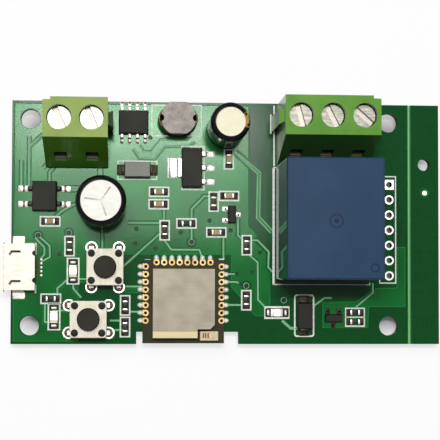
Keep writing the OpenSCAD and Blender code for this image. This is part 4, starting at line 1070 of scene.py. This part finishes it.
# Push buttons: a black base and plunger under a stamped steel cover, held by four black
# posts that are melted over the cover like rivets.
form("switch_bases", 0.08, black)
cover_metal = finish(
    "switch_steel", plain_metal((205, 199, 181), (217, 212, 194), 0.45, (3.0, 1.0, 1.0), metal=0.1))
COVER_TOP, COVER_SHEET, COVER_HALF = 5.2, 0.3, 3.0
SKIRT_FOOT, SKIRT_HALF = 2.7, COVER_HALF - 0.5
POST_REACH = 2.2
thin = COVER_SHEET / 2
covers = []
for x, y, sideways in ((-17.4, -7.4, False), (-20.05, -15.9, True)):
    plate = slab(x, y, COVER_HALF, COVER_HALF, COVER_TOP - COVER_SHEET, COVER_TOP)
    round_edges(plate, upright, 0.5, 5)
    round_edges(plate, lambda middle, way: middle.z > COVER_TOP - 0.01 and abs(way.z) < 0.1, 0.12, 3)
    holes = [drum(x, y, 1.85, COVER_TOP - 1, COVER_TOP + 1, 48)]
    for post_x in (x - POST_REACH, x + POST_REACH):
        for post_y in (y - POST_REACH, y + POST_REACH):
            holes.append(drum(post_x, post_y, 0.6, COVER_TOP - 1, COVER_TOP + 1, 24))
    cut_away(plate, join("cover_holes", holes))
    even_light(plate, 30)
    covers.append(plate)
    for out in (thin - COVER_HALF, COVER_HALF - thin):
        place = (x, y + out, SKIRT_HALF, thin) if sideways else (x + out, y, thin, SKIRT_HALF)
        skirt = slab(*place, SKIRT_FOOT, COVER_TOP - 0.2)
        round_edges(skirt, lambda middle, way: middle.z < SKIRT_FOOT + 0.05, 0.08, 2)
        covers.append(skirt)
fit(join("switch_covers_formed", covers), cover_metal, stands_for="switch_covers")
dress("switch_legs", tin)
dress("switch_domes", steel)
plunger = finish("plunger_plastic", moulded((32, 31, 25), (46, 45, 37), 0.5, 3.0, 0.01))
for number in (1, 2):
    form(f"switch_plunger_{number}", 0.12, plunger, 3, f"button_{number}")

# Relay: a blue moulded cover over a coil, an iron frame with a hinged armature, and a pair
# of contacts on a moulded base. The cover's top is matt and its walls are polished; the gate
# and an ejector pin left their rings on the top.
low, high = box_of("relay_cover")
COVER_WALL = 0.9
MARK_DEPTH = 0.06
gate, ejector = (18.51, -0.4), (24.55, -7.65)


def blue_cover(spot):
    speck = spot.noise(9.0, detail=3.0)
    blue = (0.5 * spot.noise(0.12) + 0.5 * speck).mottle((22, 52, 80), (34, 66, 96))
    top = spot.flatness() > 0.9
    sunk = spot.z < high.z - MARK_DEPTH / 2
    return {
        "Base Color": (top * sunk).mix(blue, (10, 30, 58)),
        "Roughness": 0.07 + 0.33 * top + 0.1 * speck * top,
        "Normal": spot.bump(speck * top, 0.012),
    }


cover = bar(low, high)
round_edges(cover, upright, 0.45, 5)
round_edges(cover, lambda middle, way: middle.z > high.z - 0.01, 0.3, 3)
wall = Vector((COVER_WALL, COVER_WALL, COVER_WALL))
cut_away(cover, bar(low + wall - Vector((0, 0, 2)), high - wall))
heights = high.z - MARK_DEPTH, high.z + 0.2
marks = [flat_ring(*gate, 1.13, 0.92, *heights), drum(*gate, 0.36, *heights)]
marks.append(flat_ring(*ejector, 0.72, 0.5, *heights))
cut_away(cover, join("mould_marks", marks))
cover.name = "relay_cover_formed"
even_light(cover, 30)
fit(cover, finish("blue_cover", blue_cover), stands_for="relay_cover")
dress("relay_base", finish("relay_base_plastic", moulded((38, 58, 80), (52, 76, 98), 0.5)))
dress("relay_bobbin", finish("bobbin_plastic", moulded((30, 30, 30), (50, 50, 48), 0.5)))
wound("relay_turns", "relay_coil", 0.25)
iron = finish("plated_iron", plain_metal((170, 170, 168), (205, 205, 202), 0.35))
for node in ("relay_core", "relay_yoke", "relay_armature"):
    dress(node, iron)
contact = finish("contact_alloy", plain_metal((190, 160, 110), (222, 200, 150), 0.25))
for node in ("relay_contact_leaf", "relay_make_contact", "relay_break_contact"):
    dress(node, contact)
dress("relay_pins", tin)

# Screw terminals: green moulded housings with a sloped back, each pole with a plated clamp
# that a slotted screw draws up against the wire, and a pin that is soldered below.
SILL = 9.0
RIB_X = -16.9
END_X = 11.2


def terminal_green(dark, light, wall, spot):
    """Moulded green with polished walls in a painted-shade tone, and with sills inside its windows painted
    dim, also painted shade.
    """
    green = moulded(dark, light, 0.4, wall=wall)(spot)
    # Flat faces below SILL, down in the windows, are painted dim: painted shade.
    sill_shade = (spot.z < SILL) * (spot.flatness() > 0.8)
    return tinted(green, sill_shade, (40, 74, 28))


def supply_green(spot):
    green = terminal_green((136, 162, 80), (156, 178, 98), (84, 132, 38), spot)
    # The rib on the right end, past RIB_X, is painted dark: a painted shadow.
    return tinted(green, spot.x > RIB_X, (38, 48, 22))


form("supply_terminal_housing", 0.08, finish("supply_green", supply_green))


def load_green(spot):
    green = terminal_green((86, 142, 46), (104, 156, 58), (56, 100, 42), spot)
    # The left end wall and its rib, facing -X, are painted pale: a painted highlight.
    end_highlight = (spot.node("NewGeometry", out="Normal").x < -0.5) * (spot.x < END_X)
    return tinted(green, end_highlight, (176, 192, 146))


form("load_terminal_housing", 0.08, finish("load_green", load_green))


def shaded_pin_tin(spot):
    tinned = plain_metal((112, 108, 98), (160, 156, 146), 0.35)(spot)
    # Above 2 mm, up inside the housings, the pins are painted dark: painted shade.
    return tinted(tinned, spot.z > 2, (44, 42, 36))


dress("terminal_pins", finish("shaded_pin_tin", shaded_pin_tin))


def plated_screw(spot):
    turned = (1.0, 6.0, 1.0)
    plated = plain_metal((116, 114, 104), (176, 174, 162), 0.34, turned, 2.0, 0.012, metal=0.3)(spot)
    # Screws at x below 0 take a paler, smoother tone than the streaked ones at x above 0.
    paler_screw = plain_metal((186, 184, 176), (220, 218, 210), 0.34, metal=0.3)(spot)
    # The slot's floor and steep walls are painted pale: painted light against the slot's shade.
    lit_slot = (spot.z < 12.35) | (spot.flatness() < 0.3)
    skin = (spot.x > 0).mix(paler_screw["Base Color"], plated["Base Color"])
    plated["Base Color"] = lit_slot.mix(skin, (178, 173, 161))
    return plated


screw_metal = finish("plated_screw", plated_screw)
clamp_metal = finish("plated_clamp", plain_metal((180, 178, 170), (216, 214, 206), 0.3))
for number in range(1, 6):
    form(f"terminal_screw_{number}", 0.03, screw_metal, body=f"screw_{number}")
    dress(f"terminal_clamp_{number}", clamp_metal)

# Studio: a pale floor, a window and a bright lamp above whose reflections lie on the upper
# left of the board, and a wide soft key from the same side. The floor and the sky are white
# where they are seen, and the floor keeps the lamps' shadow. Under the board the floor's glow
# is cut down, a painted shadow, and its base colour is paler there.
bpy.ops.mesh.primitive_plane_add(size=3, location=(0, 0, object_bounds()[0].z - 0.0001))
floor = bpy.context.object
floor.name = "floor"
FLOOR_GLOW = 0.72
FLOOR_SHADE = 0.88


def seen_by(wire):
    """1 for what the eye, a mirror or glass shows, 0 for light that only falls on things."""
    rays = "Camera", "Glossy", "Transmission"
    eye, mirror, glass = (wire.node("LightPath", out=f"Is {ray} Ray") for ray in rays)
    return eye | mirror | glass


def pale_floor(spot):
    across, along = spot.x, spot.y
    notch = (abs(across + 3.8) < 8.6) * (along < -17.9)
    board_shadow = abs(across - 2.75).between(35.4, 32.0) * abs(along).between(19.8, 16.2) * (1 - notch)
    grey = spot.noise(0.002).mix((144, 144, 144), (150, 150, 150))
    # Under the board the floor's glow is cut down: a painted shadow.
    glow = seen_by(spot) * (1 - FLOOR_SHADE * board_shadow)
    return {
        "Base Color": board_shadow.mix(grey, (162, 162, 162)),
        "Roughness": 0.9,
        "Emission Color": glow.mix((0, 0, 0), (255, 255, 255)),
    }


floor.data.materials.append(finish("pale_floor", pale_floor, 0.0, **{"Emission Strength": FLOOR_GLOW}))


def lamp(name, spot, aim, width, length, power):
    made = placed(name, bpy.data.lights.new(name, "AREA"))
    made.data.shape, made.data.size, made.data.size_y = "RECTANGLE", width, length
    made.data.energy = power
    made.location = spot
    made.rotation_euler = (Vector(aim) - Vector(spot)).to_track_quat("-Z", "Y").to_euler()


lamp("window", (-0.0067, 0.0539, 0.441), (-0.0067, 0.0539, 0.0), 0.129, 0.075, 0.35)
lamp("core", (-0.0112, 0.0732, 0.441), (-0.0112, 0.0732, 0.0), 0.117, 0.026, 0.85)
lamp("key", (-0.2, 0.28, 0.75), (0.0, 0.0, 0.0), 0.4, 0.4, 1.8)
world = bpy.data.worlds.new("studio")
bpy.context.scene.world = world
world.use_nodes = True
sky = world.node_tree
plug(sky, sky.nodes["Background"], {"Color": (1, 1, 1, 1), "Strength": 0.1 + 0.9 * seen_by(Wire(sky))})
eye = placed("camera", bpy.data.cameras.new("camera"))
eye.location = (-0.01465, -0.011936, 0.221523)
eye.rotation_euler = [math.radians(turn) for turn in (2.236, -4.193, 0.142)]
eye.data.lens, eye.data.sensor_width = 109.05, 36
eye.data.shift_x, eye.data.shift_y = 0.0009, 0.052
eye.data.clip_start = 0.01
bpy.context.scene.camera = eye
bpy.context.scene.view_settings.view_transform = "Standard"
